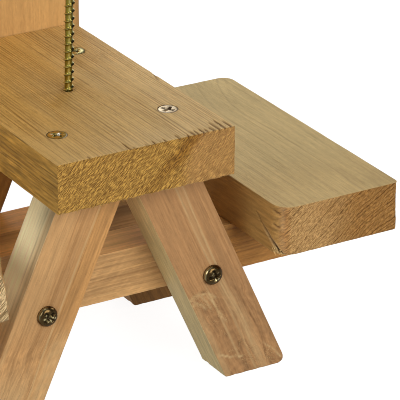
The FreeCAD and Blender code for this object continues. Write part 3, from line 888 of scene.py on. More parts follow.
for i in range(46):
    a = rng.uniform(0, 2 * math.pi)
    rr = 2.35 + rng.uniform(0, 0.8)
    tufts.append(((0.37 + rr * math.cos(a), 73.8 + rr * math.sin(a), 23.35), (0.5 * math.cos(a) + rng.normal(0, 0.3), 0.5 * math.sin(a) + rng.normal(0, 0.3), 0.75),
                  rng.uniform(0.7, 1.5), rng.uniform(0.10, 0.22), (0, 0, -0.3), rng.uniform(0.5, 0.9), rng.uniform(0.0, 0.8), 0.0))
splinters("tabletop_torn_fibres", MAT_TOP, tufts, top_place)

# ---- backboard: local y is up, local z faces the table


def back_relief(P, N):
    push, tone = sawn(P, N, 20, end=0.28, side=0.12, flat=0.04, angle=15)
    x, y, z = P.T
    strip = smooth(0.5, 0.85, N[:, 2]) * smooth(41.8, 45.5, x) * (0.5 + 0.8 * noise(x * 0.9, y * 0.03, 0, 122))
    return push, {"tone": tone - 0.24 * strip, "pale": 0.4 * arris(N) * noise(x * 0.4, y * 0.1, z * 0.4, 121), "stain": 0.10 * strip}


board(
    "backboard_wood", "backboard", MAT_BACK,
    lines(-47.3, 47.3, 0.65, rings(0.0, 3.25) + rings(-18.0, 4.6) + rings(18.0, 4.6)),
    lines(0.0, 152.4, 2.0, rings(104.4, 3.25) + rings(136.4, 3.25) + rings(11.7, 4.6), [(0, 3, 0.7), (149.4, 152.4, 0.7)]),
    lines(0.0, 19.0, 0.55),
    lambda Q: np.stack([Q[:, 0], 87.3 - Q[:, 2], Q[:, 1] + 110.2], 1),
    lambda P: 0.35 + 0.4 * fbm(P[:, 0] * 0.4, P[:, 1] * 0.2, P[:, 2] * 0.4, 120),
    back_relief,
    cups=[(-1, -18.0, 11.7, 4.6, csk), (-1, 18.0, 11.7, 4.6, csk)],
    holes=[(0.0, 104.4, 3.25), (0.0, 136.4, 3.25)],
)

# ---- legs: sheared boards with level cuts at both ends
SPLAY = 0.447
COS = 1 / math.sqrt(1 + SPLAY * SPLAY)


def leg_place(side, y_back):
    def place(Q):
        X = Q[:, 0] + side * (1.0 + SPLAY * (110.2 - Q[:, 1]))
        return np.stack([X, y_back - Q[:, 2], Q[:, 1]], 1)

    return place


def marks_front_right(u, y, z, N, m):
    """Pale double stripe, a fine crack and curly, torn grain towards the foot; a grey-green inner side, painted paler
    and brighter towards the top as painted light.
    """
    front, inner = smooth(0.5, 0.85, N[:, 2]), smooth(0.5, 0.85, -N[:, 0])
    wob = 0.5 * (noise(y * 0.07, 0, 0, 301) - 0.5)
    c1 = np.interp(y, [8, 24, 37, 49, 65, 86, 101], [20.0, 20.4, 19.8, 19.0, 18.1, 18.2, 18.4]) + wob
    c2 = np.interp(y, [8, 24, 37, 49, 62, 83, 99], [21.8, 22.0, 21.6, 21.0, 21.1, 21.4, 22.1]) + wob
    broken = 0.55 + 0.55 * noise(u * 1.2, y * 0.11, 0, 302)
    stripe = 0.50 * band(u, c1, 0.25, 0.5) + 0.46 * band(u, c2, 0.30, 0.5) + 0.24 * band(u, (c1 + c2) / 2, (c2 - c1) / 2, 0.5)
    low = 1 - smooth(38, 56, y)
    ragged = 1.6 * (fbm(u * 0.35, y * 0.10, 0, 322) - 0.5)
    stripe = stripe * (1 - 0.62 * low) + low * (0.34 * band(u + ragged, 20.2 + wob, 1.1, 1.3) + 0.22 * band(u + ragged, 23.2 + wob, 0.7, 1.4))
    fork = band(u, np.interp(y, [5, 45], [16.6, 17.6]) + wob, 0.35, 0.7) * low
    hair = band(u, 11.2 + 0.8 * wob, 0.28, 0.5) * band(y, 28, 17, 6)
    rim = 0.7 * (noise(u * 0.7, y * 0.7, 0, 303) - 0.5)
    patch = np.zeros(len(u))
    for path, wide in (([(0.2, 43.2), (3.4, 45.0), (7.0, 45.4), (11.0, 44.6), (12.6, 42.0)], 0.75), ([(0.3, 40.2), (2.2, 41.8), (4.2, 40.6), (6.0, 38.0)], 0.7),
                       ([(6.6, 44.0), (7.8, 41.0), (8.4, 37.0)], 0.6), ([(9.6, 43.6), (11.2, 40.0), (11.6, 35.0), (13.0, 29.0)], 0.5),
                       ([(2.0, 12.0), (7.0, 9.4), (13.0, 8.4)], 0.4), ([(26.0, 12.0), (29.5, 8.0), (31.5, 3.0)], 0.45)):
        d, t = to_path(u + rim, y + rim, path)
        patch = np.maximum(patch, np.exp(-(d / wide) ** 2) * (0.5 + 0.6 * noise(u, y, 0, 309)))
    d, t = to_path(u, y + 0.5 * rim, [(7.6, 46.4), (10.4, 46.2)])
    nick = np.exp(-(d / 0.32) ** 2) * front
    m["stain"] = np.maximum(m["stain"], 0.8 * nick)
    edge = band(u, 0.8, 1.4, 2.2) * (1 - smooth(30, 46, y))
    m["warp"] = front * low * (4.6 * (fbm(u * 0.10, y * 0.05, 0, 320) - 0.5) + 2.2 * (fbm(u * 0.3, y * 0.13, 0, 321) - 0.5))
    m["pale"] = np.maximum(m["pale"], front * np.clip(stripe * broken + 0.4 * fork * broken + 0.5 * hair + 1.0 * patch + 0.35 * edge, 0, 1))
    # curly grain: arches that open towards the foot
    curve = np.hypot((u - 15.5 + 2 * wob) * 1.25, y + 16 + 5 * (fbm(u * 0.12, y * 0.06, 0, 304) - 0.5)) / 3.3
    arch = np.abs(2 * (curve - np.floor(curve)) - 1) ** 1.5
    rag = 0.5 * fbm(u * 0.7, y * 0.45, 0, 305) + 0.5 * fbm(u * 0.75, y * 0.11, 2, 310)
    m["tone"] += front * low * (0.09 * (arch - 0.45) + 0.62 * (rag - 0.5) - 0.12)
    m["tone"] -= front * 0.09 * band(u, 12.4 + wob, 0.3, 0.8) * smooth(58, 66, y)
    m["tone"] -= front * 0.07 * band(u, 13.4 + wob, 2.0, 2.5) * low
    # a crack, pushed in and painted brown as painted shade in it
    d, t = to_path(u, y, [(23.0, 47.0), (25.6, 42.0), (26.0, 31.0), (27.1, 21.0), (26.7, 16.0), (24.4, 5.0)])
    crack = np.exp(-(d / 0.32) ** 2) * front
    m["stain"] = np.maximum(m["stain"], 0.66 * crack * (0.4 + 0.8 * noise(y * 0.4, 0, 0, 306)))
    m["tone"] -= 0.08 * front * band(u, 25.0, 1.0, 2.2) * smooth(40, 55, y)
    foot = front * (1 - smooth(0.6, 3.4, y)) * smooth(0.52, 0.66, fbm(u * 0.55, y * 0.3, 0, 307))
    m["stain"] = np.maximum(m["stain"], 0.5 * foot)
    # inner side: grey-green wood, painted paler and greyer through cast and brighter towards the top as painted light
    m["cast"] = np.maximum(m["cast"], inner * (0.75 + 0.25 * smooth(88, 60, y)))
    m["tone"] += inner * (0.46 * smooth(70, 95, y) + 0.05 - 0.06 * (1 - smooth(20, 45, y)) + 0.16 * (fbm(z * 0.5, y * 0.05, 0, 308) - 0.5))
    return -0.35 * crack - 0.22 * front * low * (1 - rag) * smooth(0.5, 0.8, 1 - rag)


def marks_front_left(u, y, z, N, m):
    """A pale line, warm bands, paler arched grain low on the inside; sun-bleached outer side with brown streaks."""
    front, outer = smooth(0.5, 0.85, N[:, 2]), smooth(0.5, 0.85, -N[:, 0])
    wob = 0.5 * (noise(y * 0.07, 4, 0, 311) - 0.5)
    c = np.interp(y, [15, 42, 52, 58, 73, 87, 99], [9.6, 10.9, 10.8, 10.4, 10.5, 10.4, 10.1]) + wob
    broken = 0.5 + 0.6 * noise(u * 1.2, y * 0.08, 0, 312)
    pale = 0.62 * band(u, c, 0.25, 0.5) * broken
    arch = np.hypot((u + 2.0) * 1.1, y + 6 + 4 * (fbm(u * 0.12, y * 0.06, 0, 314) - 0.5)) / 4.6
    arch = np.abs(2 * (arch - np.floor(arch)) - 1)
    low = 1 - smooth(34, 50, y)
    pale += low * band(u, 3.0, 3.0, 4.5) * (0.34 + 0.16 * arch ** 2)
    m["warp"] = front * low * (3.6 * (fbm(u * 0.10, y * 0.05, 0, 323) - 0.5) + 2.0 * (fbm(u * 0.3, y * 0.13, 0, 324) - 0.5))
    pale += 0.30 * band(u, 31.6, 0.6, 0.9) * broken
    m["pale"] = np.maximum(m["pale"], front * np.clip(pale, 0, 1))
    d = np.interp(y, [40, 57, 79, 96], [6.4, 5.1, 3.9, 3.3]) + wob
    m["tone"] -= front * (0.13 * band(u, d, 0.3, 0.8) + 0.06 * band(u, 7.2, 1.6, 2.0) * smooth(45, 55, y))
    m["tone"] -= front * 0.07 * band(u, 16.0 + 2 * wob, 1.5, 3.0)
    m["tone"] += front * low * (0.36 * (fbm(u * 0.5, y * 0.2, 0, 315) - 0.5) + 0.50 * (fbm(u * 0.8, y * 0.4, 0, 325) - 0.5) - 0.045)
    m["pale"] = np.maximum(m["pale"], front * (0.26 + 0.36 * fbm(u * 0.14, y * 0.07, 0, 326)) * smooth(40, 14, y + 8 * (fbm(u * 0.1, y * 0.05, 0, 319) - 0.5)) * smooth(9, 16, u))
    m["pale"] = np.maximum(m["pale"], front * 0.20 * band(u, 26.0 + 3 * wob, 3.5, 4.0) * smooth(40, 60, y))
    m["tone"] -= front * 0.05 * band(u, 14.5, 2.0, 3.0) * smooth(36, 55, y)
    m["stain"] = np.maximum(m["stain"], front * 0.10 * band(u, d + 1.6, 1.2, 1.2) * smooth(40, 52, y))
    red = front * smooth(34, 16, y + 6 * (fbm(u * 0.1, y * 0.05, 0, 327) - 0.5)) * smooth(12, 18, u) * smooth(0.46, 0.66, fbm(u * 0.42, y * 0.035, 0, 328))
    m["tone"] -= 0.15 * red
    m["stain"] = np.maximum(m["stain"], 0.10 * red)
    cross = np.sin(2 * math.pi * (y + 0.5 * u + 3.0 * fbm(u * 0.2, y * 0.2, 0, 329)) / 1.7)
    m["tone"] += front * low * band(u, 4.0, 4.5, 4.0) * 0.07 * cross * fbm(u * 0.3, y * 0.3, 0, 330)
    # outer side: sun-bleached with brown streaks; painted shade high up under the tabletop, strongest towards the front
    # edge, painted light at mid height, and darker lower down
    lines_ = fbm(z * 1.0, y * 0.03, 0, 316)
    bleach = smooth(42, 72, y + 10 * (fbm(z * 0.2, y * 0.05, 3, 317) - 0.5)) * (0.45 + 0.55 * smooth(21.6, 12.5, z + 7.5 * (lines_ - 0.5)))
    m["cast"] = np.maximum(m["cast"], outer * bleach * 0.95)
    m["tone"] += outer * (0.42 * (lines_ - 0.5) + 0.10 * smooth(85, 62, y) * bleach - 0.14 * smooth(92, 106, y) - 0.08 * band(z, 19.2, 1.2, 1.6) - 0.38 * smooth(82, 102, y) * (smooth(7, 15, z) - 0.30))
    m["tone"] += outer * (0.24 * bleach * band(y, 78, 8, 16) - 0.12 * (1 - smooth(30, 62, y)))
    m["stain"] = np.maximum(m["stain"], outer * 0.30 * np.maximum(band(z, 18.4 + 1.2 * (lines_ - 0.5), 0.25, 0.5), band(z, 15.6 + 1.6 * (lines_ - 0.5), 0.2, 0.45)) * (0.5 + noise(y * 0.06, 0, 0, 318)))
    return np.zeros(len(u))


def leg(name, side, y_back, material, seed, marks=None, worn=None, hairs=()):
    lo, hi = (0.0, 33.1) if side > 0 else (-33.1, 0.0)

    def radius(P):
        r = 0.30 + 0.3 * fbm(P[:, 0] * 0.4, P[:, 1] * 0.12, P[:, 2] * 0.4, seed)
        foot = 0.25 + 0.5 * fbm(P[:, 0] * 0.38, 0.0, P[:, 2] * 0.38, seed + 1) ** 2
        return np.where(P[:, 1] < 2.0, foot, r)

    def relief(P, N):
        push, tone = sawn(P, N, seed, end=0.26, side=0.07, flat=0.04, angle=25, bow=0.04)
        x, y, z = P.T
        u = np.abs(x)
        chip = smooth(0.62, 0.8, fbm(x * 0.22, 0.0, z * 0.22, seed + 4)) * (1 - smooth(0.4, 2.6, y))
        m = {"tone": tone, "stain": 0.25 * chip, "pale": 0.42 * arris(N) * (0.4 + noise(u * 0.3, y * 0.08, z * 0.3, seed + 6)),
             "cast": np.zeros(len(x))}
        push = push - 0.25 * chip
        if y_back > 0:
            # the back legs are painted darker low down, as the front legs' shade; the right one greyer high up
            if side > 0:
                m["cast"] = smooth(36, 62, y) * smooth(0.5, 0.85, N[:, 2])
            m["tone"] = m["tone"] * (1 - 0.32 * smooth(40, 12, y) * smooth(0.5, 0.85, N[:, 2]))
        if marks:
            push = push + marks(u, y - 0.6, z, N, m)
        return push, m

    board(
        name, name.replace("_wood", ""), material,
        lines(lo, hi, 0.5), lines(0.0, 110.2, 1.0, (), [(0.0, 4.0, 0.5)]), lines(0.0, 21.6, 0.55),
        leg_place(side, y_back), radius, relief, corners=worn, grain=COS,
    )
    pick = np.random.default_rng(seed)
    bits = []
    for i in range(34):
        x, z = pick.uniform(lo + 0.5, hi - 0.5), 21.2 if pick.random() < 0.7 else pick.uniform(1, 20)
        bits.append(((x, 0.75, z), (pick.normal(0, 0.5), -0.55, pick.uniform(-0.1, 0.5)), pick.uniform(0.5, 0.9), pick.uniform(0.10, 0.18),
                     (0, 0.35, 0), pick.uniform(0.7, 1.1), pick.uniform(0, 0.4), 0.3))
    for around, count in hairs:
        # fine fibres lifted from the face where the plane tore it
        for i in range(count):
            t = pick.random()
            u, y = (np.interp(t, np.linspace(0, 1, len(around)), [p[k] for p in around]) for k in (0, 1))
            slope = np.subtract(around[-1], around[0]) if len(around) == 2 else np.subtract(around[min(int(t * (len(around) - 1)) + 1, len(around) - 1)], around[int(t * (len(around) - 1))])
            a = math.atan2(slope[1], slope[0]) + pick.normal(0, 0.45)
            u, y = np.clip(u + pick.normal(0, 1.1), 0.6, 32.5), max(1.2, y + pick.normal(0, 1.3))
            bits.append(((side * u, y, 21.52), (side * math.cos(a), math.sin(a), 0.10), pick.uniform(1.2, 3.8), pick.uniform(0.09, 0.17),
                         (side * pick.normal(0, 0.22), pick.normal(0, 0.22), -0.06), pick.uniform(1.0, 1.3), -pick.uniform(0.5, 1.0), 0.0))
    splinters(name.replace("_wood", "_torn_fibres"), material, bits, leg_place(side, y_back), COS)


leg("front_right_leg_wood", 1, -43.7, MAT_LEG_FR, 130, marks_front_right, {(1, -1): 5.0},
    [([(0.8, 44.0), (4.0, 46.0), (9.0, 46.0), (13.0, 43.0)], 64), ([(1.0, 40.5), (4.0, 41.5), (8.0, 38.0)], 44), ([(2.0, 36.0), (6.0, 30.0), (9.0, 22.0)], 30),
     ([(10.0, 43.0), (11.6, 36.0), (13.5, 28.0)], 40),
     ([(8.0, 14.0), (13.0, 8.5), (19.0, 5.0), (26.0, 4.0)], 60), ([(15.0, 20.0), (18.0, 12.0), (24.0, 8.0), (30.0, 9.0)], 40)])
leg("front_left_leg_wood", -1, -43.7, MAT_LEG_FL, 140, marks_front_left)
leg("rear_right_leg_wood", 1, 43.3, MAT_LEG_R_SHADED, 150, None, {(-1, -1): 1.2})
leg("rear_left_leg_wood", -1, 43.3, MAT_LEG_R_SHADED, 160)


# ---- crossbars: local y runs along +X, local x towards the front
def crossbar(name, y_mid, seed, face):
    def radius(P):
        r = 0.30 + 0.35 * fbm(P[:, 0] * 0.4, P[:, 1] * 0.15, P[:, 2] * 0.4, seed)
        fuzzy = 0.25 + 0.5 * fbm(P[:, 0] * 0.1, P[:, 1] * 0.5, 0.0, seed + 1) ** 2
        return np.where((P[:, 2] < 1.5) & (P[:, 0] > 8), fuzzy, r)

    def relief(P, N):
        push, tone = sawn(P, N, seed, end=0.34, side=0.14, flat=0.07, angle=60, side_tone=0.10, flat_tone=0.16)
        x, y, z = P.T
        front = smooth(0.5, 0.85, face * N[:, 0])
        a = math.radians(34)
        t, c = y * math.cos(a) + z * math.sin(a), -y * math.sin(a) + z * math.cos(a)
        ray = smooth(0.56, 0.70, noise(t * 0.30, c * 1.05, 0, seed + 11)) * smooth(0.35, 0.6, fbm(y * 0.06, z * 0.1, 0, seed + 12))
        tone = tone + front * (0.12 * ray + 0.16 * (fbm(y * 0.12, z * 0.6, 0, seed + 13) - 0.5))
        stain = np.zeros(len(P))
        for k, (z0, z1, half) in enumerate(((17.2, 16.7, 0.26), (6.2, 8.2, 0.30), (21.9, 20.9, 0.22), (12.2, 12.9, 0.18))):
            zc = np.interp(y, [108, 150], [z0, z1]) + 0.9 * (fbm(y * 0.045, k * 5.0, 0, seed + 14) - 0.5)
            ln = band(z, zc, half, 0.45) * front * (0.45 + 0.7 * noise(y * 0.07, k * 9.0, 0, seed + 15))
            stain = np.maximum(stain, 0.34 * ln)
            push = push - 0.18 * ln
        woolly = front * (1 - smooth(1.0, 5.0, z)) * fbm(y * 0.5, z * 0.6, 0, seed + 16)
        tone = tone + 0.20 * woolly
        top = smooth(0.5, 0.85, N[:, 2])
        rows = np.abs(2 * (x / 2.2 + 0.5 * noise(x * 0.2, y * 0.01, 0, seed + 18) - np.floor(x / 2.2 + 0.5 * noise(x * 0.2, y * 0.01, 0, seed + 18))) - 1)
        # painted light: the tops are lighter between the benches, where the tabletop shades them; darker grain rows
        # across them
        tone = tone + top * (0.76 * smooth(62, 50, np.abs(y - 122)) - 0.22 * smooth(0.65, 0.95, rows))
        # painted shade under the benches: the upper part of the faces is darker and, through cast, redder
        under = smooth(56, 68, np.abs(y - 122)) * (1 - smooth(0.5, 0.85, np.abs(N[:, 1])))
        tone = tone - 0.31 * under * smooth(10, 20, z)
        pale = 0.42 * arris(N) * (0.4 + noise(y * 0.12, z * 0.4, x * 0.4, seed + 17))
        if face > 0:
            # front crossbar: a paler top and a little lighter outside the benches' shade, as painted light; the painted
            # shade under the benches weakens low down
            pale = np.maximum(pale, 0.3 * top * (1 - under))
            tone = tone + 0.06 * (1 - under)
            under = under * (0.72 + 0.28 * smooth(10, 20, z))
        else:
            # rear crossbar: the redder painted shade of cast all along but the middle, where it is painted darker as
            # shade between the front legs; painted lighter low down than at the top
            shaded_middle = smooth(8, 22, y - 122) * smooth(62, 50, y - 122)
            under, tone = 0.77 * np.maximum(under, 0.9) * (1 - shaded_middle), tone * (1.71 - 0.79 * smooth(14, 21.5, z)) * (1 - 0.385 * shaded_middle)
        return push, {"tone": tone, "stain": stain, "cast": under, "pale": pale}

    place = lambda Q: np.stack([Q[:, 1] - 122.0, y_mid - Q[:, 0], Q[:, 2] + 42.6], 1)
    board(
        name, name.replace("_wood", ""), MAT_BAR,
        lines(-10.8, 10.8, 0.55), lines(0.0, 244.0, 1.2), lines(0.0, 23.8, 0.5), place, radius, relief,
    )
    pick = np.random.default_rng(seed)
    bits = []
    for i in range(150):
        y = pick.uniform(1, 243)
        if noise(y * 0.07, 0, 0, seed + 21) < 0.4:
            continue
        bits.append(((face * 10.4, y, 0.7), (face * pick.uniform(0.0, 0.4), pick.normal(0, 0.9), -0.75), pick.uniform(0.7, 1.7), pick.uniform(0.09, 0.17),
                     (0, pick.normal(0, 0.3), 0.15), pick.uniform(0.9, 1.4), 0.0, 0.3))
    for i in range(70):
        end, x, z = pick.choice([0, 1]), pick.uniform(-10, 10), pick.uniform(0.8, 23)
        bits.append(((x, 0.6 if end == 0 else 243.4, z), (pick.normal(0, 0.6), -0.5 if end == 0 else 0.5, pick.normal(0, 0.6)), pick.uniform(0.5, 1.1), pick.uniform(0.09, 0.16),
                     (0, 0.35 if end == 0 else -0.35, 0), pick.uniform(0.9, 1.5), 0.0, 1.0))
    splinters(name.replace("_wood", "_torn_fibres"), MAT_BAR, bits, place)


crossbar("front_crossbar_wood", -32.9, 170, 1)
crossbar("rear_crossbar_wood", 10.9, 180, -1)

# ---- benches
CRACK = [(21.5, 14.8), (16.3, 10.9), (10.0, 7.2), (6.0, 4.2), (3.0, 0.2)]


def bench(name, side, seed, material, corners, end):
    def radius(P):
        r = 0.40 + 0.40 * fbm(P[:, 0] * 0.3, P[:, 1] * 0.12, P[:, 2] * 0.3, seed)
        return r + (1.3 * (P[:, 2] < 3.0) * smooth(26, 16, P[:, 1]) * smooth(4, 14, P[:, 0]) if side < 0 else 0.0)

    def relief(P, N):
        push, tone = sawn(P, N, seed, end=end, side=0.12, flat=0.04, angle=38 if side > 0 else 45, bow=0.05, spacing=1.0,
                          end_tone=0.16 if side > 0 else 0.24, side_tone=0.16, flat_tone=0.045)
        x, y, z = P.T
        inner, outer = smooth(0.3, 0.7, -side * N[:, 0]), smooth(0.3, 0.7, side * N[:, 0])
        # the outer edge is a little uneven
        push = push - outer * 0.55 * smooth(0.45, 0.75, fbm(y * 0.085, z * 0.05, 0, seed + 31))
        stain, dark = np.zeros(len(P)), np.zeros(len(P))
        pale = 0.30 * arris(N) * (0.3 + noise(x * 0.3, y * 0.1, z * 0.3, seed + 32))
        top = smooth(0.5, 0.85, N[:, 2])
        blush = top * smooth(0.50, 0.68, fbm(x * 0.06, y * 0.02, 0, seed + 33)) * smooth(70, 30, y)
        if side > 0:
            # a crack in the inner side: pushed in and painted brown and black as painted shade in it, with a paler lip
            # along it as a painted highlight
            d, t = to_path(y, z, CRACK)
            half = 0.20 + 0.36 * t
            wav = d + 0.25 * (noise(y * 0.9, z * 0.9, 0, seed + 34) - 0.5)
            g = np.exp(-(wav / half) ** 2) * inner
            push = push - 1.6 * g
            stain = np.maximum(stain, 0.95 * g)
            dark = np.maximum(dark, g * smooth(0.15, 0.5, t))
            lip = np.exp(-((d - 0.9) / 0.5) ** 2) * inner * smooth(0.2, 0.6, t)
            pale = np.maximum(pale, 0.55 * lip * (0.4 + noise(y * 0.5, z * 0.7, 0, seed + 35)))
            arc = (x + 32.0) - (y - 0.0)
            for zc, tilt, c0 in ((20.3, -0.42, -4.6), (13.6, -0.42, -4.9)):
                zz = zc + tilt * (arc - c0) * 0.5 + 0.35 * (noise(arc * 0.8, zc, 0, seed + 36) - 0.5)
                h = np.exp(-((z - zz) / 0.42) ** 2) * band(arc, c0, 1.6, 2.0) * (1 - smooth(2.5, 5.5, x + 32.0 + y - 4.4)) * (np.abs(N[:, 2]) < 0.5)
                push = push - 0.9 * h
                stain = np.maximum(stain, 1.0 * h)
        tone = tone - 0.05 * blush - top * (0.09 * smooth(75, 15, y) - 0.04 * band(y, 85, 20, 25))
        # the inner side is painted darker and, through cast, redder: painted shade under the tabletop
        tone = tone + inner * (0.55 * (fbm(y * 0.06, z * 0.7, 3, seed + 37) - 0.5) * smooth(45, 12, y) - 0.12)
        if side > 0:
            tone = tone + 0.09 * smooth(0.4, 0.8, -N[:, 1]) * smooth(2, -12, x)
        return push, {"tone": tone, "stain": np.maximum(stain, 0.06 * blush), "dark": dark, "pale": pale, "cast": np.maximum(inner * 0.9, 0.15 * top * smooth(60, 20, y))}

    def skewed(P):
        # this end was cut a little out of square, and its inner corner is knocked off
        x, y, z = P.T
        a = 32.0 - x
        back = np.interp(a, [0.0, 3.0, 9.0, 46.0], [4.4, 4.3, 3.6, 0.0])
        y = np.where(y < 34.0, back + y * (34.0 - back) / 34.0, y)
        off = np.interp(z, [0, 1.5, 6, 11, 16, 20.6, 23.8], [3.2, 3.9, 4.5, 4.9, 5.4, 6.6, 8.0]) * np.clip(1 - (y - back) / 15.0, 0, 1)
        a = np.where(a < 24.0, off + a * (24.0 - off) / 24.0, a)
        return np.stack([32.0 - a, y, z], 1)

    s = side
    place = lambda Q: Q + np.array([97.4 * s, -87.3, 66.4])
    board(
        name, name.replace("_wood", ""), material,
        lines(-32.0, 32.0, 0.55), lines(0.0, 153.2, 1.9, (), [(0.0, 24.0, 0.8), (0.0, 10.0, 0.55), (144.0, 153.2, 0.9)]), lines(0.0, 23.8, 0.5),
        place, radius, relief, corners=corners, shape=skewed if side < 0 else None,
    )
    pick = np.random.default_rng(seed)
    bits = []
    for i in range(1100):
        x, z = pick.uniform(-30.0, 30.0), pick.uniform(0.4, 23.3)
        a = math.radians((28 if side > 0 else 45) + pick.normal(0, 22) + (180 if pick.random() < 0.5 else 0))
        if side * x < (-21.0 if side > 0 else -25.0):
            continue
        rear = pick.random() < 0.3
        yy = 0.55 if not rear else 152.65
        if side < 0 and not rear:
            yy += float(np.interp(32.0 - x, [0.0, 3.0, 9.0, 46.0], [4.4, 4.3, 3.6, 0.0]))
        out = -1.0 if not rear else 1.0
        bits.append(((x, yy, z), (math.cos(a), out * 0.5, math.sin(a)), pick.uniform(0.8, 1.9), pick.uniform(0.07, 0.14), (0, -out * 0.5, 0), pick.uniform(0.75, 1.6), 0.0, 1.0))
    if side > 0:
        for i in range(20):
            y = pick.uniform(2.5, 9.0)
            bits.append(((-31.6 + max(0.0, 9.0 - y) ** 2 / 26.0, y, pick.uniform(0.4, 4.2)), (-0.22, -1.0, pick.uniform(-0.55, -0.1)), pick.uniform(2.2, 5.0), pick.uniform(0.10, 0.24),
                         (-0.05, 0, 0.05), pick.uniform(1.3, 2.0), 0.0, 0.0))
    for i in range(60):
        x = pick.uniform(-20, 28) * side
        bits.append(((x, 0.8, 0.6), (pick.normal(0, 0.5), -0.3, -0.8), pick.uniform(0.5, 1.3), pick.uniform(0.08, 0.15), (0, 0, 0.1), pick.uniform(0.9, 1.5), 0.0, 1.0))
    splinters(name.replace("_wood", "_torn_fibres"), material, bits, place, span=(0.03, 153.17))


bench("right_bench_wood", 1, 190, MAT_BENCH, {(-1, -1): 9.0, (1, -1): 2.8, (1, 1): 6.5, (-1, 1): 8.0}, 0.17)
bench("left_bench_wood", -1, 200, MAT_BENCH_L,
      {(1, -1): 0.9, (-1, -1): 2.8, (-1, 1): 6.5, (1, 1): 8.0}, 0.22)

# ---------------------------------------------------------------- screws


def disc(n):
    """Grid points of a unit disc, its quads and its rim, the square grid drawn onto a circle."""
    s = np.linspace(-1, 1, n)
    u, v = np.meshgrid(s, s, indexing="ij")
    m, l = np.maximum(np.abs(u), np.abs(v)), np.hypot(u, v)
    k = np.where(l > 1e-9, m / np.maximum(l, 1e-9), 1.0)
    idx = np.arange(n * n).reshape(n, n)
    q = np.stack([idx[:-1, :-1], idx[1:, :-1], idx[1:, 1:], idx[:-1, 1:]], -1).reshape(-1, 4)
    rim = np.concatenate([idx[:-1, 0], idx[-1, :-1], idx[:0:-1, -1], idx[0, :0:-1]])
    return (u * k).ravel(), (v * k).ravel(), q, rim


def recess(x, y, spin, arm=2.45, foot=0.9, width=1.15, deep=2.3):
    """Depth of a worn cross recess."""
    c, s = math.cos(spin), math.sin(spin)
    a, b = x * c + y * s, -x * s + y * c

    def slot_depth(p, q):
        wall = 1 - smooth(width / 2 - 0.14, width / 2 + 0.10, np.abs(q))
        floor = deep * np.clip(1 - (np.abs(p) - foot) / (arm - foot), 0, 1)
        return wall * floor

    cone = deep * np.clip(1 - (np.hypot(x, y) - 0.55) / 0.9, 0, 1)
    return np.maximum(np.maximum(slot_depth(a, b), slot_depth(b, a)), cone)


def helix(z_top, z_bottom, root, crest, pitch, point, start, n=36, lit=None, phase=0.0):
    """A right-handed threaded shank from z_top down to its point at z_bottom. start is where the thread begins."""
    prof_f = np.array([0.0, 0.18, 0.33, 0.41, 0.46, 0.50, 0.54, 0.59, 0.67, 0.82])
    prof_h = np.array([0.0, 0.0, 0.02, 0.18, 0.72, 1.0, 0.72, 0.18, 0.02, 0.0])
    m = len(prof_f)
    turns = int(math.ceil((z_top - z_bottom) / pitch)) + 3
    rows = turns * m
    th = 2 * math.pi * np.arange(n) / n
    base = np.repeat(np.arange(turns), m) + np.tile(prof_f, turns)
    Z = z_top + pitch + phase - pitch * (base[:, None] - (np.arange(n) / n)[None, :])
    H = np.repeat(np.tile(prof_h, turns)[:, None], n, 1)
    Zc = np.clip(Z, z_bottom + 0.02, z_top)
    into = np.clip((Zc - z_bottom) / point, 0, 1)
    begin = smooth(start, start - pitch * 1.2, Zc)
    R = root * into ** 0.8 + (crest - root) * H * np.clip(into * 1.6, 0, 1) * begin
    V = np.stack([R * np.cos(th)[None, :], R * np.sin(th)[None, :], Zc], -1).reshape(-1, 3)
    idx = np.arange(rows * n).reshape(rows, n)
    quad = [np.stack([idx[:-1, :-1], idx[1:, :-1], idx[1:, 1:], idx[:-1, 1:]], -1).reshape(-1, 4)]
    a, b = idx[:-m, 0], idx[m:, -1]
    quad.append(np.stack([b[:-1], b[1:], a[1:], a[:-1]], -1))
    # painted shade lies in the corner under each turn
    corner = np.tile(np.array([0.15, 0.25, 0.75, 0.8, 0.25, 0.0, 0.15, 0.35, 0.45, 0.2]), turns)
    dark = np.repeat(corner[:, None], n, 1)
    shine = np.zeros_like(dark)
    if lit is not None:
        # round each turn the flank is painted black on one side as painted shade and bright beside it as a painted
        # highlight; the plain shank gets bands of painted shade and a painted highlight stripe
        turn = ((np.degrees(th) - lit + 180) % 360 - 180)[None, :]
        shaded_flank = smooth(-12, 0, turn) * smooth(66, 50, turn)
        worn = smooth(-90, -62, turn) * smooth(-2, -14, turn)
        under = np.tile(np.array([0.05, 0.7, 1.0, 1.0, 1.0, 0.75, 0.0, 0.0, 0.0, 0.0]), turns)[:, None]
        over = np.tile(np.array([0.0, 0.0, 0.0, 0.0, 0.3, 1.0, 1.0, 1.0, 1.0, 0.2]), turns)[:, None]
        line = np.tile(np.array([0.0, 0.05, 0.35, 0.85, 0.9, 0.3, 0.0, 0.0, 0.1, 0.0]), turns)[:, None]
        glow = np.tile(np.array([0.0, 0.0, 0.0, 0.0, 0.0, 0.1, 0.22, 0.12, 0.0, 0.0]), turns)[:, None]
        plainly = np.tile(np.array([1.0, 0.8, 0.2, 0.0, 0.0, 0.0, 0.0, 0.0, 0.4, 1.0]), turns)[:, None]
        dark = np.maximum(line * (1 - shaded_flank) * (1 - worn), shaded_flank * np.maximum(under, over))
        dark = np.maximum(dark, plainly * (0.55 * band(turn, 46.0, 8.0, 12.0) + 0.26 * band(turn, 138.0, 14.0, 14.0)))
        shine = np.maximum(over * worn, glow * (1 - shaded_flank)) + plainly * 0.34 * np.exp(-((turn - 84.0) / 13.0) ** 2)
        # less painted shade where it leaves the tabletop
        dark = dark * (1 - shine) * (1 - 0.75 * band(Zc, -23.8, 0.9, 0.8))
    return V, np.concatenate(quad), dark.reshape(-1), shine.reshape(-1)


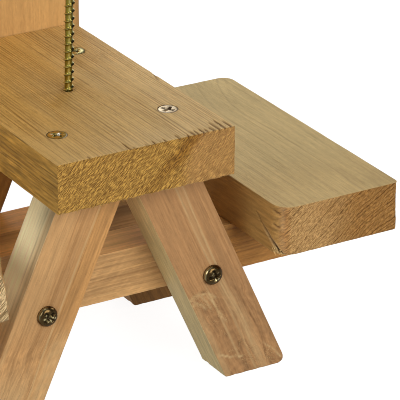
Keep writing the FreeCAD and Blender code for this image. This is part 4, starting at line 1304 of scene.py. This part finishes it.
def screw_shell(kind, length, spin_deg, seed, root=1.45, shank=1.7, crest=2.25, pitch=3.65, point=7.0, plain=12.0, n=49, lit=None, phase=0.0, glint_spots=(), rim_glint=None, glint=0.0, arm=None, cut=None, wide=0.38):
    """One screw along -Z with its head up. A flat head's top is at 0, a pan head's seat is at 0."""
    spin = math.radians(spin_deg)
    u, v, q, rim = disc(n)
    m = np.clip(np.hypot(u, v), 0, 1)
    verts, quads, tris, dark = [], [], [], []
    if kind == "flat":
        R = 4.55
        x, y = u * R, v * R
        hole = recess(x, y, spin, arm=arm or 2.45, width=1.15 if arm is None else wide * arm)
        z = -0.02 - 0.16 * m ** 8 - 0.05 * noise(x * 0.6, y * 0.6, seed, seed) - hole
        rim_rings = [(4.55, -0.30), (4.53, -0.42), (3.6, -1.35), (2.6, -2.35), (1.75, -3.2), (1.7, -4.2)]
    else:
        R, H = 4.85, 3.08
        k = 1 - (1 - m) ** 1.5
        f = np.where(m > 1e-9, k / np.maximum(m, 1e-9), 1.5)
        x, y = u * f * R, v * f * R
        rr = np.clip(np.hypot(x, y) / R, 0, 1)
        hole = recess(x, y, spin, arm=3.2, width=1.6)
        z = 0.75 + (H - 0.75) * (1 - rr ** 2.9) ** 0.55 - hole
        rim_rings = [(4.85, 0.55), (4.81, 0.25), (4.68, 0.02), (2.4, 0.01), (1.75, 0.0), (1.7, -1.2)]
    verts.append(np.stack([x, y, z], 1))
    # a random variation of the painted shade in the recess
    worn = noise(x * 1.3, y * 1.3, seed, seed)
    # painted highlights: glints in the recess, glint spots and a bright arc on the rim
    bright = glint * smooth(0.48, 0.60, noise(x * 0.8 + 3, y * 0.8, seed, seed + 1)) * smooth(0.15, 0.6, hole)
    for px, py, pr, amount in glint_spots:
        bright = np.maximum(bright, amount * np.exp(-(((x - px) ** 2 + (y - py) ** 2) / pr ** 2) ** 1.5))
    if rim_glint:
        turn_ = np.degrees(np.arctan2(y, x)) - rim_glint[0]
        turn_ = np.abs((turn_ + 180) % 360 - 180)
        bright = np.maximum(bright, rim_glint[2] * (1 - smooth(0.5 * rim_glint[1], rim_glint[1], turn_)) * smooth(0.84, 0.93, np.hypot(x, y) / R))
    # painted shade in the recess and round the rim of the head, none under the painted highlights
    cut = cut or (0.95 if kind == "flat" else 0.6)
    edge = 0.85 * smooth(0.87, 0.97, m) if kind == "flat" else 0.35 * smooth(0.93, 1.0, m)
    dark.append(np.clip(cut * smooth(0.03, 0.45, hole) * (0.8 + 0.5 * worn) + edge, 0, 1) * (1 - bright))
    shine = [bright]
    quads.append(q)
    ang = np.arctan2(y[rim], x[rim])
    prev, total = rim, len(x)
    for rr_, zz in rim_rings:
        verts.append(np.stack([rr_ * np.cos(ang), rr_ * np.sin(ang), np.full(len(ang), zz)], 1))
        # the head's rim and underside are painted in shade
        dark.append(np.full(len(ang), 0.35))
        shine.append(np.zeros(len(ang)))
        cur = np.arange(total, total + len(ang))
        total += len(ang)
        quads.append(np.stack([np.roll(prev, -1), prev, cur, np.roll(cur, -1)], 1))
        prev = cur
    verts.append(np.array([[0.0, 0.0, rim_rings[-1][1]]]))
    dark.append(np.array([0.5]))
    shine.append(np.array([0.0]))
    tris.append(np.stack([np.roll(prev, -1), prev, np.full(len(prev), total)], 1))
    top = -1.0 if kind == "flat" else -0.3
    return verts, quads, tris, dark, shine, helix(top, -length, root, crest, pitch, point, top - plain, 36 if lit is None else 60, lit, phase)


def close_helix(V, Q):
    """Caps the two ends of a helix shell with fans round each open edge."""
    e = np.concatenate([Q[:, [0, 1]], Q[:, [1, 2]], Q[:, [2, 3]], Q[:, [3, 0]]])
    key = {(int(a), int(b)) for a, b in e}
    free = {b: a for a, b in key if (b, a) not in key}
    tris, V = [], [V]
    count = len(V[0])
    while free:
        start = next(iter(free))
        loop, cur = [start], free.pop(start)
        while cur != start:
            loop.append(cur)
            cur = free.pop(cur)
        V.append(V[0][loop].mean(0, keepdims=True))
        tris.append(np.array([(loop[i], loop[(i + 1) % len(loop)], count) for i in range(len(loop))]))
        count += 1
    return np.concatenate(V), (np.concatenate(tris) if tris else np.zeros((0, 3), np.int64))


def tidy(V, quads, tris, dark, shine):
    """Drops faces of no area, which a clipped helix leaves at its ends, and unused points."""
    key, first, back = np.unique(np.round(V, 5), axis=0, return_index=True, return_inverse=True)
    back = back.reshape(-1)
    quads, tris = back[quads], back[tris] if len(tris) else np.zeros((0, 3), np.int64)
    same = np.sort(quads, axis=1)
    whole = np.all(same[:, 1:] != same[:, :-1], axis=1)
    three = []
    for f in quads[~whole]:
        out = list(dict.fromkeys(int(i) for i in f))
        if len(out) == 3:
            three.append(out)
    tris = [tuple(int(i) for i in t) for t in tris if len(set(t.tolist())) == 3] + [tuple(t) for t in three]
    tris = np.array(tris, np.int64).reshape(-1, 3)
    quads = quads[whole]
    used = np.unique(np.concatenate([quads.ravel(), tris.ravel()]))
    new = np.full(len(key), -1)
    new[used] = np.arange(len(used))
    return V[first][used], new[quads], new[tris], dark[first][used], shine[first][used]


def screws(name, node, material, items):
    """Several screws in one piece. Each item: kind, length, spin, seed, 4x4 placing in mm, extra options."""
    AV, AQ, AT, AD, AB, AS = [], [], [], [], [], []
    total = 0
    for kind, length, spin, seed, M, opts in items:
        verts, quads, tris, dark, shine, (V, Q, deep, glow) = screw_shell(kind, length, spin, seed, **opts)
        hv, hq, ht, hd, hs = (np.concatenate(a) for a in (verts, quads, tris, dark, shine))
        V2, T2 = close_helix(V, Q)
        D2 = np.concatenate([deep, np.full(len(V2) - len(V), 0.4)])
        S2 = np.concatenate([glow, np.zeros(len(V2) - len(V))])
        V2, Q2, T2, D2, S2 = tidy(V2, Q, T2, D2, S2)
        for vv, qq, tt, dd, ss in ((hv, hq, ht, hd, hs), (V2, Q2, T2, D2, S2)):
            AS.append(ss)
            AV.append(vv @ M[:3, :3].T + M[:3, 3])
            AB.append(vv + np.array([seed * 13.0, 0, 0]))
            AQ.append(qq + total)
            AT.append(tt + total)
            AD.append(dd)
            total += len(vv)
    V, Q, T, D, B = np.concatenate(AV), np.concatenate(AQ), np.concatenate(AT), np.concatenate(AD), np.concatenate(AB)
    ob = make_object(name, V, [Q, T], [np.zeros((len(Q), 4, 2)), np.zeros((len(T), 3, 2))], {"bc": B, "dark": D, "shine": np.concatenate(AS)}, material)
    ob.data.uv_layers.remove(ob.data.uv_layers["OFBake"])
    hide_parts(node)
    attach(ob, "root")
    return ob


def frame_at(origin, up, lean=0.0):
    """Placing with local +Z along up, leaning by some degrees away from +X."""
    z = np.array(up, float)
    x = np.array([1.0, 0, 0]) if abs(z[0]) < 0.9 else np.array([0, 1.0, 0])
    a = math.radians(lean)
    if lean:
        z = z * math.cos(a) - np.array([1.0, 0, 0]) * math.sin(a)
    y = np.cross(z, x)
    y /= np.linalg.norm(y)
    x = np.cross(y, z)
    M = np.eye(4)
    M[:3, 0], M[:3, 1], M[:3, 2], M[:3, 3] = x, y, z, origin
    return M


Y0 = -81.7
# painted highlights on the screw heads: glint spots as x, y, radius and strength, and a bright arc on the rim as angle,
# width and strength
GLINTS_L = [(-0.9, 0.5, 0.6, 1.0), (1.5, -0.2, 0.5, 0.7), (0.9, -1.9, 0.45, 0.8), (-0.7, -1.6, 0.4, 0.6), (-2.4, -0.2, 0.5, 0.8), (2.9, -0.6, 0.4, 0.8)]
GLINTS_R = [(-0.6, 0.45, 0.95, 1.0), (0.9, -2.2, 0.4, 0.8), (1.9, -1.6, 0.4, 0.8), (1.5, 1.3, 0.4, 0.4), (-0.2, -2.5, 0.3, 0.6)]
screws("front_left_top_screw", "front_tabletop_screws", MAT_DULL,
       [("flat", 50.8, 22.0, 1, frame_at((-28.4, 30.4 + Y0, 133.6), (0, 0, 1)),
         {"arm": 2.9, "glint_spots": [(1.5, 0.9, 0.7, 1.0), (-1.7, 1.7, 0.7, 0.8), (-0.7, 0.7, 0.5, 0.7), (2.6, -1.6, 0.4, 0.5)], "rim_glint": (320, 50, 0.5)})])
screws("front_right_top_screw", "front_tabletop_screws", MAT_SILVER,
       [("flat", 50.8, 31.0, 2, frame_at((28.5, 32.2 + Y0, 133.6), (0, 0, 1)), {"arm": 3.3, "wide": 0.55, "cut": 1.6, "rim_glint": (200, 70, 0.15)})])
screws("rear_top_screws", "rear_tabletop_screws", MAT_PALE,
       [("flat", 50.8, 65.0, 3, frame_at((-28.5, 115.4 + Y0, 133.6), (0, 0, 1)), {}),
        ("flat", 50.8, 10.0, 4, frame_at((27.0, 116.8 + Y0, 133.6), (0, 0, 1)), {})])
screws("cob_screw_steel", "cob_screw", MAT_ZINC,
       [("flat", 88.9, 30.0, 5, frame_at((-0.34, 73.8 + Y0, 110.2), (0, 0, -1), 1.75), {"plain": 12.0, "root": 1.74, "shank": 1.9, "crest": 2.52, "lit": 30.5, "phase": -1.05})])
screws("front_leg_screw_heads", "front_leg_screws", MAT_BRONZE,
       [("pan", 36.0, 38.0, 6, frame_at((-42.5, 16.4 + Y0, 54.9), (0, -1, 0)), {"glint_spots": GLINTS_L, "rim_glint": (140, 60, 0.22)}),
        ("pan", 36.0, 12.0, 7, frame_at((42.5, 16.4 + Y0, 54.9), (0, -1, 0)), {"glint_spots": GLINTS_R, "rim_glint": (155, 60, 0.28)})])
screws("rear_leg_screw_heads", "rear_leg_screws", MAT_BRONZE,
       [("pan", 36.0, 55.0, 8, frame_at((-42.5, 125.0 + Y0, 54.9), (0, 1, 0)), {"glint_spots": GLINTS_R, "rim_glint": (120, 60, 0.5)}),
        ("pan", 36.0, 37.0, 9, frame_at((42.5, 125.0 + Y0, 54.9), (0, 1, 0)), {"glint_spots": GLINTS_L, "rim_glint": (120, 60, 0.5)})])
for side, word in ((-1, "left"), (1, "right")):
    screws(word + "_bench_screw_heads", word + "_bench_screws", MAT_BRONZE,
           [("pan", 38.0, 20.0 + 30 * side, 10 + side, frame_at((97.4 * side, 48.8 + Y0, 42.6), (0, 0, -1)), {}),
            ("pan", 38.0, 70.0, 14 + side, frame_at((97.4 * side, 92.6 + Y0, 42.6), (0, 0, -1)), {})])
screws("backboard_screw_heads", "backboard_screws", MAT_ZINC,
       [("flat", 50.8, 35.0, 17, frame_at((-18.0, 87.3, 121.9), (0, 1, 0)), {}),
        ("flat", 50.8, 5.0, 18, frame_at((18.0, 87.3, 121.9), (0, 1, 0)), {})])

# ---------------------------------------------------------------- floor, light, camera
scene = bpy.context.scene
scene.view_settings.view_transform = "Standard"
scene.view_settings.look = "None"
scene.view_settings.exposure = 0.0
scene.view_settings.gamma = 1.0
scene.cycles.filter_width = 1.0

# a pale sweep: a round floor that curves up into a wall far behind the camera
profile = [(0.0, 0.0), (0.4, 0.0), (1.5, 0.0), (4.2, 0.0)]
profile += [(4.2 + 1.6 * math.sin(a), 1.6 - 1.6 * math.cos(a)) for a in np.linspace(0, math.pi / 2, 13)[1:]] + [(5.8, 4.5)]
turn = np.linspace(0, 2 * math.pi, 73)[:-1]
fv = [(0.0, 0.0, 0.0)] + [(r * math.cos(t), r * math.sin(t), h) for r, h in profile[1:] for t in turn]
ff = [(0, 1 + i, 1 + (i + 1) % 72) for i in range(72)]
for k in range(len(profile) - 2):
    a, b = 1 + 72 * k, 1 + 72 * (k + 1)
    ff += [(a + i, b + i, b + (i + 1) % 72, a + (i + 1) % 72) for i in range(72)]
fm = bpy.data.meshes.new("studio_floor")
fm.from_pydata(fv, [], ff)
fm.polygons.foreach_set("use_smooth", np.ones(len(fm.polygons), bool))
floor = bpy.data.objects.new("studio_floor", fm)
scene.collection.objects.link(floor)
g = Graph("studio_floor")
pos = g.tree.nodes.new("ShaderNodeTexCoord").outputs["Object"]
g.put(g.bsdf.inputs["Base Color"], g.mix(g.noise(pos, (1.5, 1.5, 1.5), 2.0), (0.30, 0.30, 0.30), (0.33, 0.33, 0.328)))
g.bsdf.inputs["Roughness"].default_value = 0.9
g.bsdf.inputs["Specular IOR Level"].default_value = 0.1
g.bsdf.inputs["Emission Color"].default_value = (1, 1, 1, 1)
g.bsdf.inputs["Emission Strength"].default_value = 0.90
g.mat.cycles.emission_sampling = "NONE"
fm.materials.append(g.mat)
floor.visible_diffuse = False
floor.visible_glossy = False
floor.visible_shadow = False

world = bpy.data.worlds.new("studio")
scene.world = world
world.use_nodes = True
wt = world.node_tree
bg = wt.nodes.get("Background")
coord = wt.nodes.new("ShaderNodeTexCoord")
parts = wt.nodes.new("ShaderNodeSeparateXYZ")
wt.links.new(coord.outputs["Generated"], parts.inputs[0])
rise = wt.nodes.new("ShaderNodeMapRange")
rise.interpolation_type = "SMOOTHSTEP"
for i, v in ((1, -0.25), (2, 0.45), (3, 0.50), (4, 0.22)):
    rise.inputs[i].default_value = v
wt.links.new(parts.outputs[2], rise.inputs[0])
wt.links.new(rise.outputs[0], bg.inputs[1])
bg.inputs[0].default_value = (1.0, 1.0, 1.0, 1.0)


def area(name, azimuth, elevation, distance, size, power, colour=(1, 1, 1)):
    """A soft box aimed at the table. Azimuth 0 is the front, positive to the right."""
    a, e = math.radians(azimuth), math.radians(elevation)
    to = Vector((0.0, 0.0, 0.09))
    at = to + distance * Vector((math.sin(a) * math.cos(e), -math.cos(a) * math.cos(e), math.sin(e)))
    d = bpy.data.lights.new(name, "AREA")
    d.shape = "DISK"
    d.size = size
    d.energy = power
    d.color = colour
    o = bpy.data.objects.new(name, d)
    o.location = at
    o.rotation_mode = "QUATERNION"
    o.rotation_quaternion = (to - at).to_track_quat("-Z", "Y")
    scene.collection.objects.link(o)
    return o


area("key", 6, 25, 2.2, 1.5, 28.0, (1.0, 0.985, 0.96))
area("top", -10, 80, 2.2, 1.3, 4.0)
area("fill_left", -62, 24, 2.2, 1.2, 16.0)
area("fill_right", 80, 30, 2.2, 0.9, 9.0)
area("back", 165, 24, 2.2, 1.2, 9.0)

cam = bpy.data.cameras.new("camera")
cam.sensor_width = 36.0
cam.lens = 260.615
cam.clip_start, cam.clip_end = 0.05, 50.0
camera = bpy.data.objects.new("camera", cam)
scene.collection.objects.link(camera)
az, el, roll = math.radians(30.553), math.radians(23.9635), math.radians(0.1515)
back = Vector((-math.sin(az) * math.cos(el), -math.cos(az) * math.cos(el), math.sin(el)))
right = (-back).cross(Vector((0, 0, 1))).normalized()
up = right.cross(-back)
r2 = right * math.cos(roll) + up * math.sin(roll)
u2 = -right * math.sin(roll) + up * math.cos(roll)
eye = Vector((0.0617451, -0.0217, 0.0708456)) + back * 1.3557424
camera.matrix_world = Matrix(((r2.x, u2.x, back.x, eye.x), (r2.y, u2.y, back.y, eye.y), (r2.z, u2.z, back.z, eye.z), (0, 0, 0, 1)))
scene.camera = camera

bpy.context.view_layer.update()
